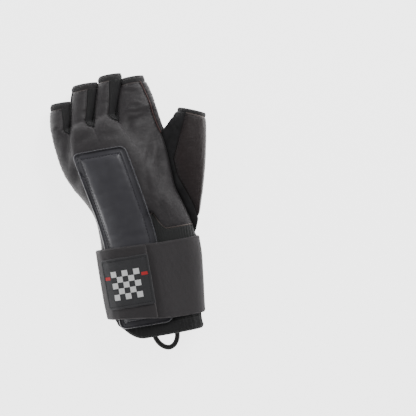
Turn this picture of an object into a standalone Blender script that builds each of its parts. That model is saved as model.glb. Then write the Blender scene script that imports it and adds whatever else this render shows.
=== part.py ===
"""Left wrist guard glove, lying palm down: a fingerless leather glove with a padded splint on its back, a
bulging skid plate in its palm, a wide elastic wrist strap and a cord pull loop.

The origin is the middle of the skid plate's flat face, which rests on the floor. +Y points towards the fingers,
+X towards the thumb and +Z up through the back of the hand. Lengths are in millimetres.

The hand, its finger sleeves and its thumb are one surface of four-sided cells, the net. Each sewn panel is cut
out of the net, given its wall inwards and drawn back a little at its seams.
"""

import math

import bpy
from mathutils import Vector
from mathutils.bvhtree import BVHTree
from mathutils.geometry import convex_hull_2d

METRES = 0.001

# The hand
KNUCKLE_WIDTH = 100.0
PALM_LENGTH = 128.0
PALM_DEPTH = 33.0
WRIST_TO_SKID = 38.0
SKID_DROP = 9.2
BODY_SQUARENESS = 2.5

# Walls and seams
LEATHER = 1.6
SUEDE = 1.6
FOURCHETTE = 1.2
KNIT = 2.4
ELASTIC = 1.4
HEM_WALL = 1.5
SEAM = 0.8
MITRE_LIMIT = 0.9
PALM_EDGE_SWELL = 1.3
PALM_EDGE_REACH = 9.0
PALM_EDGE_HEIGHT = 8.0

# Finger sleeves
FINGER_LENGTH = 40.0
FINGER_WIDTH = 22.0
FINGER_DEPTH = 20.0
HEM_LENGTH = 6.0

# Thumb sleeve
THUMB_LENGTH = 88.0
THUMB_WIDTH = 28.0
THUMB_DEPTH = 24.0
THUMB_BULGE = 3.5
THUMB_HEM_LENGTH = 3.5

# Knit cuff
CUFF_LENGTH = 79.6

# Splint pad on the back of the hand, and the distance between the rows of a pad's grid
PAD_STEP = 10.0
BACK_PAD_WIDTH = 0.50 * KNUCKLE_WIDTH
BACK_PAD_LENGTH = 167.0
BACK_PAD_THICKNESS = 4.4
BACK_PAD_TOP = 61.0
BACK_PAD_CORNER = 6.0

# Splint pocket in the palm, its window and the skid plate that bulges through it
POCKET_WIDTH = 0.54 * KNUCKLE_WIDTH
POCKET_LENGTH = 165.0
POCKET_THICKNESS = 4.0
POCKET_TOP = 57.0
POCKET_CORNER = 6.0
WINDOW_WIDTH = 42.0
WINDOW_LENGTH = 45.0
WINDOW_CORNER = 5.0
WINDOW_CUT = 40.0
PLATE_THICKNESS = 2.4
PLATE_CLEARANCE = 0.6
PLATE_FLAT = 20.0

# Wrist strap, which ends STRAP_END from the axis, and the closing tab at its end, TAB_DROP below its upper edge
STRAP_END = 8.0
STRAP_WIDTH = 68.0
STRAP_THICKNESS = 2.0
STRAP_TOP = -31.2
STRAP_OVERLAP = 44.0
STRAP_SKEW_TOP = 1.2
STRAP_SKEW_BOTTOM = 4.0
STRAP_STEP_DOWN = 30.0
STRAP_STEP = 4.3
TAB_WIDTH = 46.0
TAB_LENGTH = 46.5
TAB_THICKNESS = 1.3
TAB_CORNER = 2.5
TAB_STEP = 9.0
TAB_DROP = 0.125 * STRAP_WIDTH

# Pull loop
LOOP_CORD = 5.0

# Between two pieces that rest on each other
REST_GAP = 0.7


def rows(columns, *values):
    """A table as a list of rows, each a dict under the named columns."""
    return [dict(zip(columns.split(), row)) for row in values]


# Cross-sections from the end of the cuff to the finger webs. along: share of CUFF_LENGTH below the wrist edge
# (negative) or of PALM_LENGTH above it. little, index: the sides, shares of KNUCKLE_WIDTH from the axis. skew
# and bow: how far the index side and the middle lie ahead, shares of PALM_LENGTH. side, top, under: heights,
# shares of PALM_DEPTH above the palm. spread: how far the columns follow the fingers. valley: how deep the
# valleys between the fingers are.
BODY_SECTIONS = rows(
    "along  little  index  skew   bow    side  top   under  spread valley",
    (-1.00, -0.290, 0.470, 0.000, 0.000, 0.36, 0.76, -0.02, 0.00, 0.00),
    (-0.82, -0.325, 0.477, 0.000, 0.000, 0.36, 0.80, -0.05, 0.00, 0.00),
    (-0.45, -0.352, 0.512, 0.000, 0.000, 0.36, 0.82, -0.05, 0.00, 0.00),
    (0.00, -0.345, 0.555, 0.000, 0.000, 0.37, 0.83, -0.05, 0.00, 0.00),
    (0.14, -0.335, 0.545, 0.000, 0.000, 0.38, 0.86, -0.03, 0.00, 0.00),
    (0.30, -0.350, 0.495, 0.000, 0.000, 0.39, 0.93, 0.00, 0.05, 0.00),
    (0.42, -0.415, 0.455, 0.000, 0.000, 0.39, 0.97, 0.01, 0.15, 0.00),
    (0.54, -0.505, 0.450, 0.010, 0.000, 0.39, 1.00, 0.01, 0.30, 0.00),
    (0.68, -0.572, 0.445, 0.075, -0.035, 0.39, 1.01, 0.00, 0.55, 0.00),
    (0.83, -0.602, 0.410, 0.060, -0.010, 0.39, 0.98, 0.02, 0.80, 0.06),
    (0.92, -0.612, 0.392, 0.070, 0.010, 0.39, 0.90, 0.05, 0.95, 0.32),
    (0.955, -0.614, 0.390, 0.078, 0.020, 0.38, 0.84, 0.06, 1.00, 1.00),
)

# The cuff's corner on the little finger side is cut away: how far and over how much of CUFF_LENGTH, and over
# which share of the width.
CUFF_CORNER_RISE = 0.176
CUFF_CORNER_REACH = 0.3
CUFF_CORNER_SHARE = 0.294

# The back leather ends above the strap in a rounded tab: how far its corner beside the pad is cut back, over
# how much of the palm's length, and between which shares of the width.
TAB_RISE = 0.13
TAB_REACH = 0.10
TAB_UNDER_PAD = 0.40
TAB_CORNER_FROM = 0.60
TAB_CORNER_TO = 0.74

# The four finger sleeves from the little finger. base: the sleeve's share of the hand's width at the webs.
# across, ahead: the middle of its leather end, shares of KNUCKLE_WIDTH and of FINGER_LENGTH from the axis and
# the middle web. width, level: shares of FINGER_WIDTH and, above the palm, of FINGER_DEPTH. hem_across,
# hem_width: the same at the end of its hem. left, right: where the back leather ends on the sleeve, degrees
# from its top, at base and end.
FINGERS = rows(
    "name     base   across ahead width level hem_across hem_width left_base left_end right_base right_end",
    ("little", 0.176, -0.494, 0.55, 0.93, 0.17, -0.489, 0.92, -90, -90, 52, 4),
    ("ring", 0.224, -0.240, 0.89, 1.09, 0.22, -0.228, 1.08, -52, -60, 51, 16),
    ("middle", 0.218, 0.005, 1.00, 0.89, 0.24, 0.020, 0.93, -52, -72, 52, 2),
    ("index", 0.382, 0.219, 0.86, 1.00, 0.26, 0.217, 0.99, -60, -78, 52, 38),
)
PALMAR_EDGE = 68.0
LOBE_DEPTH = 0.66

# Rows of cells: across the cuff, up the palm and along a finger sleeve. The palm's rows hold the lines that the
# panels end on: the wrist edge, the tab of the back leather, the thumb hole, the palm leather and the webs.
# WEB counts the rows up to the webs.
CUFF_ROWS = (-1.0, -0.88, -0.66, -0.44, -0.22, 0.0)
TAB_ROW = 0.13
HOLE_FOOT = 0.07
HOLE_TOP = 0.76
PALM_LEATHER_ROW = HOLE_TOP
SLIT_ROW = 0.92
WEB_ROW = 0.955
PALM_ROWS = (0.0, HOLE_FOOT, TAB_ROW, 0.21, 0.29, 0.38, 0.47, 0.55, 0.62,
             0.69, HOLE_TOP, 0.82, 0.87, SLIT_ROW, WEB_ROW)
FINGER_ROWS = (0.0, 0.25, 0.5, 0.75, 1.0)
HEM_ROWS = (1.0, 1.5, 2.0)
WEB = len(CUFF_ROWS) + len(PALM_ROWS) - 2
THUMB_ROWS = (0.0, 0.14, 0.32, 0.5, 0.68, 0.85, 1.0)
THUMB_HEM_ROW = 2.0
THUMB_SUEDE_ROW = 0.14

# The thumb's end: its middle and direction in the plan, shares of THUMB_LENGTH and degrees, and its level, a
# share of THUMB_DEPTH above the palm. The leather covers the ring from THUMB_LEATHER_FROM to THUMB_LEATHER_TO,
# shares of the turn that starts at the crotch and goes over the back of the thumb.
THUMB_END_ACROSS = 0.80
THUMB_END_AHEAD = 0.918
THUMB_YAW = 22.0
THUMB_LEVEL = 0.24
THUMB_LEATHER_FROM = 0.19
THUMB_LEATHER_TO = 0.72

# Creases pressed into the leather: where, as shares of KNUCKLE_WIDTH and PALM_LENGTH from the axis and the
# wrist edge, which way they run in degrees, and their length, width and depth as shares of KNUCKLE_WIDTH.
CREASES = rows(
    "face      across  along  turn  length width  depth",
    ("back", 0.230, 1.120, -12, 0.13, 0.040, 0.010),
    ("back", 0.215, 1.040, -8, 0.15, 0.045, 0.009),
    ("back", 0.330, 0.560, 78, 0.40, 0.050, 0.012),
    ("back", -0.420, 0.620, 62, 0.34, 0.060, 0.012),
    ("palm", -0.200, 0.840, 8, 0.50, 0.050, 0.012),
    ("palm", 0.180, 0.780, -14, 0.36, 0.050, 0.014),
    ("palm", 0.340, 0.500, 50, 0.30, 0.050, 0.014),
)

# Profiles of the stitched pads from the edge inwards: inset in shares of the width, height in shares of the
# thickness.
PAD_PROFILE = ((0.0, 0.42), (0.022, 0.62), (0.055, 0.60), (0.085, 0.34), (0.14, 0.92), (0.24, 1.0), (0.5, 1.0))
POCKET_PROFILE = ((0.0, 0.60), (0.05, 0.74), (0.10, 0.70), (0.16, 0.98), (0.26, 1.0), (0.5, 1.0))
TAB_PROFILE = ((0.0, 0.8), (0.04, 1.0), (0.12, 1.0), (0.30, 1.0), (0.5, 1.0))

# Middle line of the back pad: along in shares of its length from the top, across in shares of its width.
BACK_PAD_LINE = rows(
    "along  across",
    (0.00, -0.385),
    (0.17, -0.280),
    (0.41, -0.150),
    (0.55, -0.105),
    (1.00, -0.070),
)

# Middle line of the palm pocket: along in shares of its length from the top, across in shares of
# KNUCKLE_WIDTH.
POCKET_LINE = rows(
    "along  across",
    (0.00, 0.000),
    (0.45, 0.000),
    (1.00, 0.080),
)

# The route of the pull loop's cord, from the splint pocket's end round to it again, laid by hand.
LOOP_ROUTE = (
    (0.8, -108.4, 5.2), (0.8, -112.5, 5.2), (0.1, -116.8, 4.6), (-0.2, -121.0, 3.7), (2.3, -127.0, 3.1),
    (6.5, -131.4, 2.9), (11.5, -133.2, 2.8), (16.4, -131.3, 2.9), (19.8, -126.6, 3.1), (21.2, -121.0, 3.7),
    (20.9, -116.8, 4.6), (20.2, -112.5, 5.2), (20.2, -108.4, 5.2),
)


def lerp(a, b, share):
    return a + (b - a) * share


def ramp(value, start, end):
    """0 at start, 1 at end, straight in between."""
    return min(1.0, max(0.0, (value - start) / (end - start)))


def curve_through(stations, values, at):
    """A smooth curve through the values at the stations, read at one station."""
    last = len(stations) - 2
    i = max(0, min(last, sum(1 for s in stations if s <= at) - 1))
    before, after = max(i - 1, 0), min(i + 2, last + 1)
    step = stations[i + 1] - stations[i]
    t = (at - stations[i]) / step
    slope_in = (values[i + 1] - values[before]) / (stations[i + 1] - stations[before]) * step
    slope_out = (values[after] - values[i]) / (stations[after] - stations[i]) * step
    return (
        (2 * t**3 - 3 * t**2 + 1) * values[i]
        + (t**3 - 2 * t**2 + t) * slope_in
        + (3 * t**2 - 2 * t**3) * values[i + 1]
        + (t**3 - t**2) * slope_out
    )


def read(table, key, column, at):
    return curve_through([row[key] for row in table], [row[column] for row in table], at)


def rounded(value, squareness):
    """A sine or cosine pushed towards a squarer section."""
    return math.copysign(abs(value) ** (2 / squareness), value)


# The surface of the hand

def body_point(finger, degrees, back, along):
    """A point of the hand or cuff: its finger column, its angle on that finger, its face and its row."""
    at = {column: read(BODY_SECTIONS, "along", column, along) for column in BODY_SECTIONS[0]}
    low, high = at["little"] * KNUCKLE_WIDTH, at["index"] * KNUCKLE_WIDTH
    start = sum(f["base"] for f in FINGERS[:finger])
    share = start + FINGERS[finger]["base"] * (1 + math.sin(math.radians(degrees))) / 2
    turn = math.pi / 2 * (2 * (finger + (degrees + 90) / 180) / len(FINGERS) - 1)
    wide = (1 + rounded(math.sin(turn), BODY_SQUARENESS)) / 2
    share = lerp(wide, share, at["spread"])
    level = at["top"] if back else at["under"]
    around = rounded(max(math.cos(turn), 0.0), BODY_SQUARENESS)
    lobe = LOBE_DEPTH * math.cos(math.radians(degrees)) if abs(degrees) < 90 else 0.0
    bulge = lerp(around, lobe, max(0.0, at["valley"]))
    forward = along * (CUFF_LENGTH if along < 0 else PALM_LENGTH) - WRIST_TO_SKID
    forward += (at["skew"] * share + at["bow"] * (1 - (2 * share - 1) ** 2)) * PALM_LENGTH
    if along < 0:
        low_corner = max(0.0, 1 - share / CUFF_CORNER_SHARE) ** 2
        forward += CUFF_CORNER_RISE * CUFF_LENGTH * max(0.0, 1 - (1 + along) / CUFF_CORNER_REACH) * low_corner
    if back:
        beside_pad = ramp(share, TAB_CORNER_TO, TAB_CORNER_FROM) ** 2
        beside_pad *= ramp(share, TAB_UNDER_PAD, TAB_CORNER_FROM)
        forward += TAB_RISE * PALM_LENGTH * beside_pad * math.exp(-(((along - TAB_ROW) / TAB_REACH) ** 2))
    height = SKID_DROP + PALM_DEPTH * (at["side"] + (level - at["side"]) * bulge)
    return Vector((lerp(low, high, share), forward, height))


def finger_point(finger, degrees, back, along):
    """A point of a finger sleeve, from 0 at the web to 1 at the leather's end and 2 at the hem's."""
    row = FINGERS[finger]
    base = body_point(finger, degrees, back, WEB_ROW)
    web = WEB_ROW * PALM_LENGTH - WRIST_TO_SKID
    across, up = math.sin(math.radians(degrees)), math.cos(math.radians(degrees)) * (1 if back else -1)
    width, depth = row["width"] * FINGER_WIDTH, FINGER_DEPTH
    level = SKID_DROP + row["level"] * FINGER_DEPTH
    end = Vector((row["across"] * KNUCKLE_WIDTH + across * width / 2, web + row["ahead"] * FINGER_LENGTH,
                  level + up * depth / 2))
    if along <= 1:
        return base.lerp(end, along)
    tip = Vector((row["hem_across"] * KNUCKLE_WIDTH + across * row["hem_width"] * FINGER_WIDTH / 2,
                  end.y + HEM_LENGTH, level - 0.05 * FINGER_DEPTH + up * depth * 0.47))
    return end.lerp(tip, along - 1)


def thumb_point(foot, turn, along):
    """A point of the thumb sleeve between its foot, on the thumb hole's rim, and the ring at its end."""
    yaw = math.radians(THUMB_YAW)
    out, ahead = Vector((math.cos(yaw), -math.sin(yaw), 0)), Vector((math.sin(yaw), math.cos(yaw), 0))
    angle = 2 * math.pi * turn
    middle = Vector((THUMB_END_ACROSS * THUMB_LENGTH, THUMB_END_AHEAD * THUMB_LENGTH,
                     SKID_DROP + THUMB_LEVEL * THUMB_DEPTH))
    ring = out * (-math.cos(angle) * THUMB_WIDTH / 2) + Vector((0, 0, math.sin(angle) * THUMB_DEPTH / 2))
    end = middle + ring
    if along > 1:
        return end + ahead * THUMB_HEM_LENGTH * (along - 1) - ring * 0.03 * (along - 1)
    swell = (out * max(0.0, -math.cos(angle)) * 0.9 + Vector((0, 0, math.sin(angle) * 0.7))) * THUMB_BULGE
    return foot.lerp(end, along) + swell * 4 * along * (1 - along)


# The net of cells

class Net:
    """Cells of the glove's outer surface, each with the corner names it joins and the panel it belongs to."""

    def __init__(self):
        self.points = {}
        self.cells = []

    def add(self, panel, corners, places):
        for name, place in zip(corners, places):
            self.points.setdefault(name, place)
        self.cells.append((panel, tuple(corners)))

    def normals(self):
        found = {name: Vector() for name in self.points}
        for _, corners in self.cells:
            a, b, c, d = (self.points[name] for name in corners)
            across = (c - a).cross(d - b)
            for name in corners:
                found[name] += across
        return {name: normal.normalized() for name, normal in found.items()}

    def tree(self):
        names = list(self.points)
        index = {name: i for i, name in enumerate(names)}
        faces = [[index[name] for name in corners] for _, corners in self.cells]
        return BVHTree.FromPolygons([self.points[name] for name in names], faces)


def spaced(low, high, count):
    return [lerp(low, high, i / count) for i in range(count)]


def columns_of(finger, back, end):
    """The angles of a finger's columns at its base or end, with the panel's edges among them."""
    row = FINGERS[finger]
    if not back:
        edge = PALMAR_EDGE
        return [-90.0, *spaced(-edge, edge, 4), edge, 90.0]
    left, right = row["left_" + end], row["right_" + end]
    outer = [] if left == -90 else spaced(-90, left, 2)
    strip = spaced(left, right, 4 if outer else 5)
    return [*outer, *strip, *spaced(right, 90, 2), 90.0]


def corner_name(finger, column, last, back, row):
    """Corners that the faces or the fingers share have one name."""
    on_side = column in (0, last)
    if row > WEB:
        return ("finger", row, finger, column, None if on_side else back)
    outermost = (finger, column) in ((0, 0), (len(FINGERS) - 1, last))
    shared = on_side if row == WEB else outermost
    place = (finger + 1, 0) if column == last else (finger, column)
    return ("body", row, *place, None if shared else back)


def panel_of(finger, column, count, back, low):
    """The panel that a cell of the hand belongs to, by its column and its lower row."""
    name = FINGERS[finger]["name"]
    right_edge = count - 2
    left_edge = 2 if back and FINGERS[finger]["left_base"] != -90 else 0
    if back:
        in_slit = column < left_edge or (column >= right_edge and finger < 3)
        near_slit = column == left_edge - 1 or (column == count - 1 and finger < 3)
        near_slit = near_slit or (column == 0 and left_edge)
    else:
        in_slit = (column == 0 and finger > 0) or (column == count - 1 and finger < 3)
        near_slit = in_slit
    gap = finger if column >= count // 2 else finger - 1
    kind, station = low
    if kind == "cuff":
        return "wrist_cuff"
    if kind == "hem":
        return "hem_" + name
    slit_name = f"fourchette_{FINGERS[gap]['name']}_{FINGERS[min(gap + 1, 3)]['name']}"
    if kind == "finger" and in_slit:
        return slit_name
    if kind == "palm" and station == SLIT_ROW and near_slit and not (back and column in (1, count - 2)):
        return slit_name
    if not back:
        return "palm_leather" if kind == "finger" or station >= PALM_LEATHER_ROW else "palm_suede"
    if finger == 3 and column >= right_edge:
        return "palm_leather" if kind == "finger" or station >= PALM_LEATHER_ROW else "palm_suede"
    if kind == "palm" and station < TAB_ROW and (finger == 3 or (finger == 2 and column >= 1)):
        return "wrist_elastic"
    return "back_leather"


def in_thumb_hole(finger, column, count, low):
    kind, station = low
    return finger == 3 and kind == "palm" and HOLE_FOOT <= station < HOLE_TOP and column >= count - 2


def build_net():
    net = Net()
    stations = [("cuff", s) for s in CUFF_ROWS[:-1]] + [("palm", s) for s in PALM_ROWS]
    stations += [("finger", s) for s in FINGER_ROWS[1:]] + [("hem", s) for s in HEM_ROWS[1:]]
    for finger in range(len(FINGERS)):
        for back in (True, False):
            base, end = columns_of(finger, back, "base"), columns_of(finger, back, "end")
            last = len(base) - 1

            def place(column, row):
                kind, station = stations[row]
                if kind in ("cuff", "palm"):
                    return body_point(finger, base[column], back, station)
                share = min(1.0, station)
                return finger_point(finger, lerp(base[column], end[column], share), back, station)

            for row in range(len(stations) - 1):
                kind, station = stations[row]
                upper = stations[row + 1][0]
                low = (upper if row >= WEB else kind, station)
                for column in range(last):
                    if in_thumb_hole(finger, column, last, low):
                        continue
                    spots = [(column, row), (column + 1, row), (column + 1, row + 1), (column, row + 1)]
                    if not back:
                        spots.reverse()
                    names = [corner_name(finger, c, last, back, r) for c, r in spots]
                    panel = panel_of(finger, column, last, back, low)
                    net.add(panel, names, [place(c, r) for c, r in spots])
    add_thumb(net)
    return net


def thumb_rim():
    """The corner names round the thumb hole, from the crotch down its back edge and up its palm edge."""
    first = len(CUFF_ROWS) - 1
    rows_in_hole = [first + i for i, s in enumerate(PALM_ROWS) if HOLE_FOOT <= s <= HOLE_TOP]
    finger = len(FINGERS) - 1
    sides = {}
    for back in (True, False):
        last = len(columns_of(finger, back, "base")) - 1
        sides[back] = [last - i for i in range(3)]

    def name(back, column, row):
        last = len(columns_of(finger, back, "base")) - 1
        return corner_name(finger, column, last, back, row)

    top, foot = rows_in_hole[-1], rows_in_hole[0]
    rim = [name(True, column, top) for column in sides[True]]
    rim += [name(True, sides[True][-1], row) for row in reversed(rows_in_hole[1:-1])]
    rim += [name(True, column, foot) for column in reversed(sides[True])]
    rim += [name(False, column, foot) for column in sides[False][1:]]
    rim += [name(False, sides[False][-1], row) for row in rows_in_hole[1:]]
    rim += [name(False, sides[False][1], top)]
    return rim


def add_thumb(net):
    rim = thumb_rim()
    count = len(rim)
    stations = [*THUMB_ROWS, THUMB_HEM_ROW]

    def corner(k, row):
        k %= count
        return rim[k] if row == 0 else ("thumb", k, row)

    def place(k, row):
        k %= count
        return thumb_point(net.points[rim[k]], k / count, stations[row])

    for row in range(len(stations) - 1):
        for k in range(count):
            leather = THUMB_LEATHER_FROM <= k / count < THUMB_LEATHER_TO and stations[row] >= THUMB_SUEDE_ROW
            panel = "thumb_leather" if leather else "thumb_suede"
            if stations[row] >= 1:
                panel = "hem_thumb"
            spots = [(k, row), (k + 1, row), (k + 1, row + 1), (k, row + 1)]
            net.add(panel, [corner(*spot) for spot in spots], [place(*spot) for spot in spots])


def crease(net):
    """Presses the creases into the net."""
    normals = net.normals()
    for name, place in net.points.items():
        normal = normals[name]
        for row in CREASES:
            if (normal.z > 0.2) != (row["face"] == "back") or abs(normal.z) < 0.2:
                continue
            turn = math.radians(row["turn"])
            offset = Vector((place.x - row["across"] * KNUCKLE_WIDTH,
                             place.y + WRIST_TO_SKID - row["along"] * PALM_LENGTH))
            run = offset.x * math.cos(turn) + offset.y * math.sin(turn)
            off = offset.y * math.cos(turn) - offset.x * math.sin(turn)
            half, wide = row["length"] * KNUCKLE_WIDTH / 2, row["width"] * KNUCKLE_WIDTH
            fade = math.exp(-((run / half) ** 2) * 1.5 - (off / wide) ** 2)
            place -= normal * fade * row["depth"] * KNUCKLE_WIDTH


# Solids

def new_object(name, points, faces, colour, roughness, metallic=0.0):
    """One named object, in metres, with its own material."""
    mesh = bpy.data.meshes.new(name)
    mesh.from_pydata([Vector(p) * METRES for p in points], [], faces)
    mesh.update()
    made = bpy.data.objects.new(name, mesh)
    bpy.context.scene.collection.objects.link(made)
    finish = bpy.data.materials.new(name)
    finish.use_nodes = True
    shader = finish.node_tree.nodes["Principled BSDF"]
    shader.inputs["Base Color"].default_value = (*colour, 1.0)
    shader.inputs["Roughness"].default_value = roughness
    shader.inputs["Metallic"].default_value = metallic
    mesh.materials.append(finish)
    mesh.shade_smooth()
    mesh.set_sharp_from_angle(angle=math.radians(40))
    return made


def edges_of(cells):
    """The edges that only one cell uses, each in that cell's direction."""
    used = {}
    for corners in cells:
        for i, start in enumerate(corners):
            used[(start, corners[(i + 1) % len(corners)])] = True
    return [edge for edge in used if (edge[1], edge[0]) not in used]


def slab(name, cells, outer, inner, colour, roughness, metallic=0.0):
    """A solid between two skins over the same cells, closed along every free edge."""
    names = list(dict.fromkeys(corner for corners in cells for corner in corners))
    index = {corner: i for i, corner in enumerate(names)}
    points = [outer[corner] for corner in names] + [inner[corner] for corner in names]
    faces = [[index[corner] for corner in corners] for corners in cells]
    faces += [[index[corner] + len(names) for corner in reversed(corners)] for corners in cells]
    faces += [[index[b], index[a], index[a] + len(names), index[b] + len(names)] for a, b in edges_of(cells)]
    return new_object(name, points, faces, colour, roughness, metallic)


def sewn_panel(net, normals, panel, wall, colour, roughness, swell=None):
    """A panel of the net with its wall inside it, drawn back at its edges by half a seam."""
    cells = [corners for owner, corners in net.cells if owner == panel]
    pull = {}
    for start, end in edges_of(cells):
        run = (net.points[end] - net.points[start]).normalized()
        for corner in (start, end):
            inward = normals[corner].cross(run).normalized()
            pull[corner] = pull.get(corner, Vector()) + inward
    outer, inner = {}, {}
    for corner in dict.fromkeys(corner for corners in cells for corner in corners):
        normal = normals[corner]
        drawn = pull.get(corner, Vector())
        if drawn.length > 1e-6:
            drawn = drawn * SEAM / max(drawn.length_squared, MITRE_LIMIT)
        raised = swell(net.points[corner]) if swell else 0.0
        outer[corner] = net.points[corner] + drawn + normal * raised
        inner[corner] = net.points[corner] + drawn - normal * wall
    return slab(panel, cells, outer, inner, colour, roughness)


def pad_stations(profile, width, length, step):
    """Grid lines of a pad across and along it, as insets from its two edges, dense at the stitched border."""
    insets = [inset * width for inset, _ in profile]
    across = insets + [width - inset for inset in reversed(insets[:-1])]
    border = insets[:-1]
    count = max(1, round((length - 2 * border[-1]) / step))
    middle = [lerp(border[-1], length - border[-1], i / count) for i in range(1, count)]
    return across, border + middle + [length - inset for inset in reversed(border)]


def rounded_corner(u, v, width, length, corner):
    """Where a grid point of a pad lies once its corners are rounded, and how far it is from the edge."""
    near_u, near_v = min(u, width - u), min(v, length - v)
    if near_u >= corner or near_v >= corner:
        return u, v, min(near_u, near_v)
    from_u, from_v = corner - near_u, corner - near_v
    reach = max(from_u, from_v)
    scale = reach / math.hypot(from_u, from_v)
    shift_u, shift_v = from_u * (1 - scale), from_v * (1 - scale)
    u += shift_u if u < width / 2 else -shift_u
    v += shift_v if v < length / 2 else -shift_v
    return u, v, corner - reach


def pad(name, profile, size, corner, step, place, colour, roughness, facing=1):
    """A stitched pad: a rounded oblong whose height follows a profile from its edge, laid by place()."""
    width, length, thickness = size
    across, along = pad_stations(profile, width, length, step)
    insets, heights = zip(*profile)
    outer, inner = {}, {}
    for i, u in enumerate(across):
        for j, v in enumerate(along):
            at_u, at_v, inset = rounded_corner(u, v, width, length, corner)
            share = min(inset / width, insets[-1])
            k = max(0, sum(1 for s in insets if s <= share + 1e-9) - 1)
            nxt = min(k + 1, len(insets) - 1)
            step_in = (share - insets[k]) / (insets[nxt] - insets[k]) if nxt > k else 0.0
            height = thickness * lerp(heights[k], heights[nxt], step_in)
            outer[i, j] = place(at_u - width / 2, at_v, REST_GAP + height)
            inner[i, j] = place(at_u - width / 2, at_v, REST_GAP)
    cells = []
    for i in range(len(across) - 1):
        for j in range(len(along) - 1):
            corners = [(i, j), (i, j + 1), (i + 1, j + 1), (i + 1, j)]
            cells.append(tuple(corners if facing > 0 else reversed(corners)))
    return slab(name, cells, outer, inner, colour, roughness)


def drape(tree, back):
    """A function that lays a point at a height over the hand, seen from above, or under it, seen from below."""
    way = Vector((0, 0, -1 if back else 1))
    clear = 200.0

    def lay(x, y, height):
        hit = tree.ray_cast(Vector((x, y, 0)) - way * clear, way)[0]
        return hit - way * height

    return lay


def prism(name, outline, low, high):
    """A straight cutter over an outline, hidden from renders."""
    count = len(outline)
    points = [(x, y, low) for x, y in outline] + [(x, y, high) for x, y in outline]
    faces = [list(range(count))[::-1], list(range(count, 2 * count))]
    faces += [[i, (i + 1) % count, (i + 1) % count + count, i + count] for i in range(count)]
    made = new_object(name, points, faces, (1, 1, 1), 1)
    made.hide_render = True
    made.display_type = "WIRE"
    return made


def rounded_oblong(width, length, radius, steps=4):
    """The outline of a rounded oblong about the origin, anticlockwise."""
    outline = []
    for quarter, (sx, sy) in enumerate(((1, 1), (-1, 1), (-1, -1), (1, -1))):
        for i in range(steps + 1):
            turn = math.pi / 2 * (quarter + i / steps)
            outline.append((sx * (width / 2 - radius) + radius * math.cos(turn),
                            sy * (length / 2 - radius) + radius * math.sin(turn)))
    return outline


def skid_plate(tree):
    """The glossy plate: an arch that stands on the palm at both ends of the window, its flat crown on the floor."""
    lay = drape(tree, back=False)
    wide, long = WINDOW_WIDTH - 2 * PLATE_CLEARANCE, WINDOW_LENGTH - 2 * PLATE_CLEARANCE
    corner = WINDOW_CORNER - PLATE_CLEARANCE
    half, flat = long / 2, PLATE_FLAT / 2
    foot = min(lay(x, y, REST_GAP).z for x in (-wide / 3, 0, wide / 3) for y in (-half, half))
    border = [0.0, 0.3 * corner, 0.65 * corner, corner]
    middle = [half - lerp(flat, half, share) for share in (0.55, 0.3, 0.1, 0.0)]
    along = border + middle
    along += [long - v for v in reversed(along)]
    across = border + [wide / 2] + [wide - u for u in reversed(border)]
    outer, inner = {}, {}
    for i, u in enumerate(across):
        for j, v in enumerate(along):
            at_u, at_v, _ = rounded_corner(u, v, wide, long, corner)
            run = max(0.0, (abs(half - v) - flat) / (half - flat))
            fall = (foot - PLATE_THICKNESS) * (1 - math.sqrt(max(0.0, 1 - run**2.2)))
            outer[i, j] = Vector((at_u - wide / 2, at_v - half, fall))
            inner[i, j] = Vector((at_u - wide / 2, at_v - half, fall + PLATE_THICKNESS))
    cells = [((i, j), (i, j + 1), (i + 1, j + 1), (i + 1, j)) for i in range(len(across) - 1)
             for j in range(len(along) - 1)]
    return slab("skid_plate", cells, outer, inner, (0.012, 0.012, 0.014), 0.12)


# The strap

class Wrap:
    """The path of a stretched band round what it wraps: the convex outline of its section at each station."""

    def __init__(self, wrapped, low, high, count=5, sides=144):
        points = [p for made in wrapped for p in (v.co / METRES for v in made.data.vertices)]
        self.stations = [lerp(low, high, i / (count - 1)) for i in range(count)]
        band = (high - low) / (count - 1) * 0.75
        self.sides = sides
        around = [p for p in points if low - band < p.y < high + band]
        self.middle = Vector((sum(p.x for p in around) / len(around), sum(p.z for p in around) / len(around)))
        self.reach = [self.outline([p for p in points if abs(p.y - y) < band]) for y in self.stations]

    def outline(self, points):
        flat = [Vector((p.x, p.z)) - self.middle for p in points]
        hull = [flat[i] for i in convex_hull_2d(flat)]
        normals = []
        for a, b in zip(hull, hull[1:] + hull[:1]):
            edge = b - a
            if edge.length < 1e-6:
                continue
            normal = Vector((edge.y, -edge.x)).normalized()
            normals.append((normal if normal.dot(a) > 0 else -normal, abs(normal.dot(a)) + REST_GAP))
        found = []
        for i in range(self.sides):
            turn = 2 * math.pi * i / self.sides
            ray = Vector((math.cos(turn), math.sin(turn)))
            found.append(min(far / ray.dot(normal) for normal, far in normals if ray.dot(normal) > 1e-3))
        soft = [(found[i - 1] + 2 * found[i] + found[(i + 1) % self.sides]) / 4 for i in range(self.sides)]
        return [max(a, b) for a, b in zip(found, soft)]

    def point(self, turn, y, out):
        """A point at a turn from the thumb side up over the back, out from the band's inner skin."""
        side = turn * self.sides / (2 * math.pi)
        station = min(max(y, self.stations[0]), self.stations[-1])
        far = []
        for i in (math.floor(side), math.floor(side) + 1):
            reaches = [reach[i % self.sides] for reach in self.reach]
            far.append(curve_through(self.stations, reaches, station))
        away = lerp(*far, side % 1) + out
        return Vector((self.middle.x + math.cos(turn) * away, y, self.middle.y + math.sin(turn) * away))


def strap_edges(turn):
    """The y of the strap's lower and upper edges at a turn: it widens a little towards the thumb."""
    side = math.cos(turn)
    return STRAP_TOP - STRAP_WIDTH - STRAP_SKEW_BOTTOM * side, STRAP_TOP - STRAP_SKEW_TOP * side


def turn_over_back(wrap, x, y):
    """The turn at which the band passes over x on the back of the wrist."""
    turns = [math.pi * i / 360 for i in range(1, 360)]
    return min(turns, key=lambda turn: abs(wrap.point(turn, y, 0).x - x))


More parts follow.
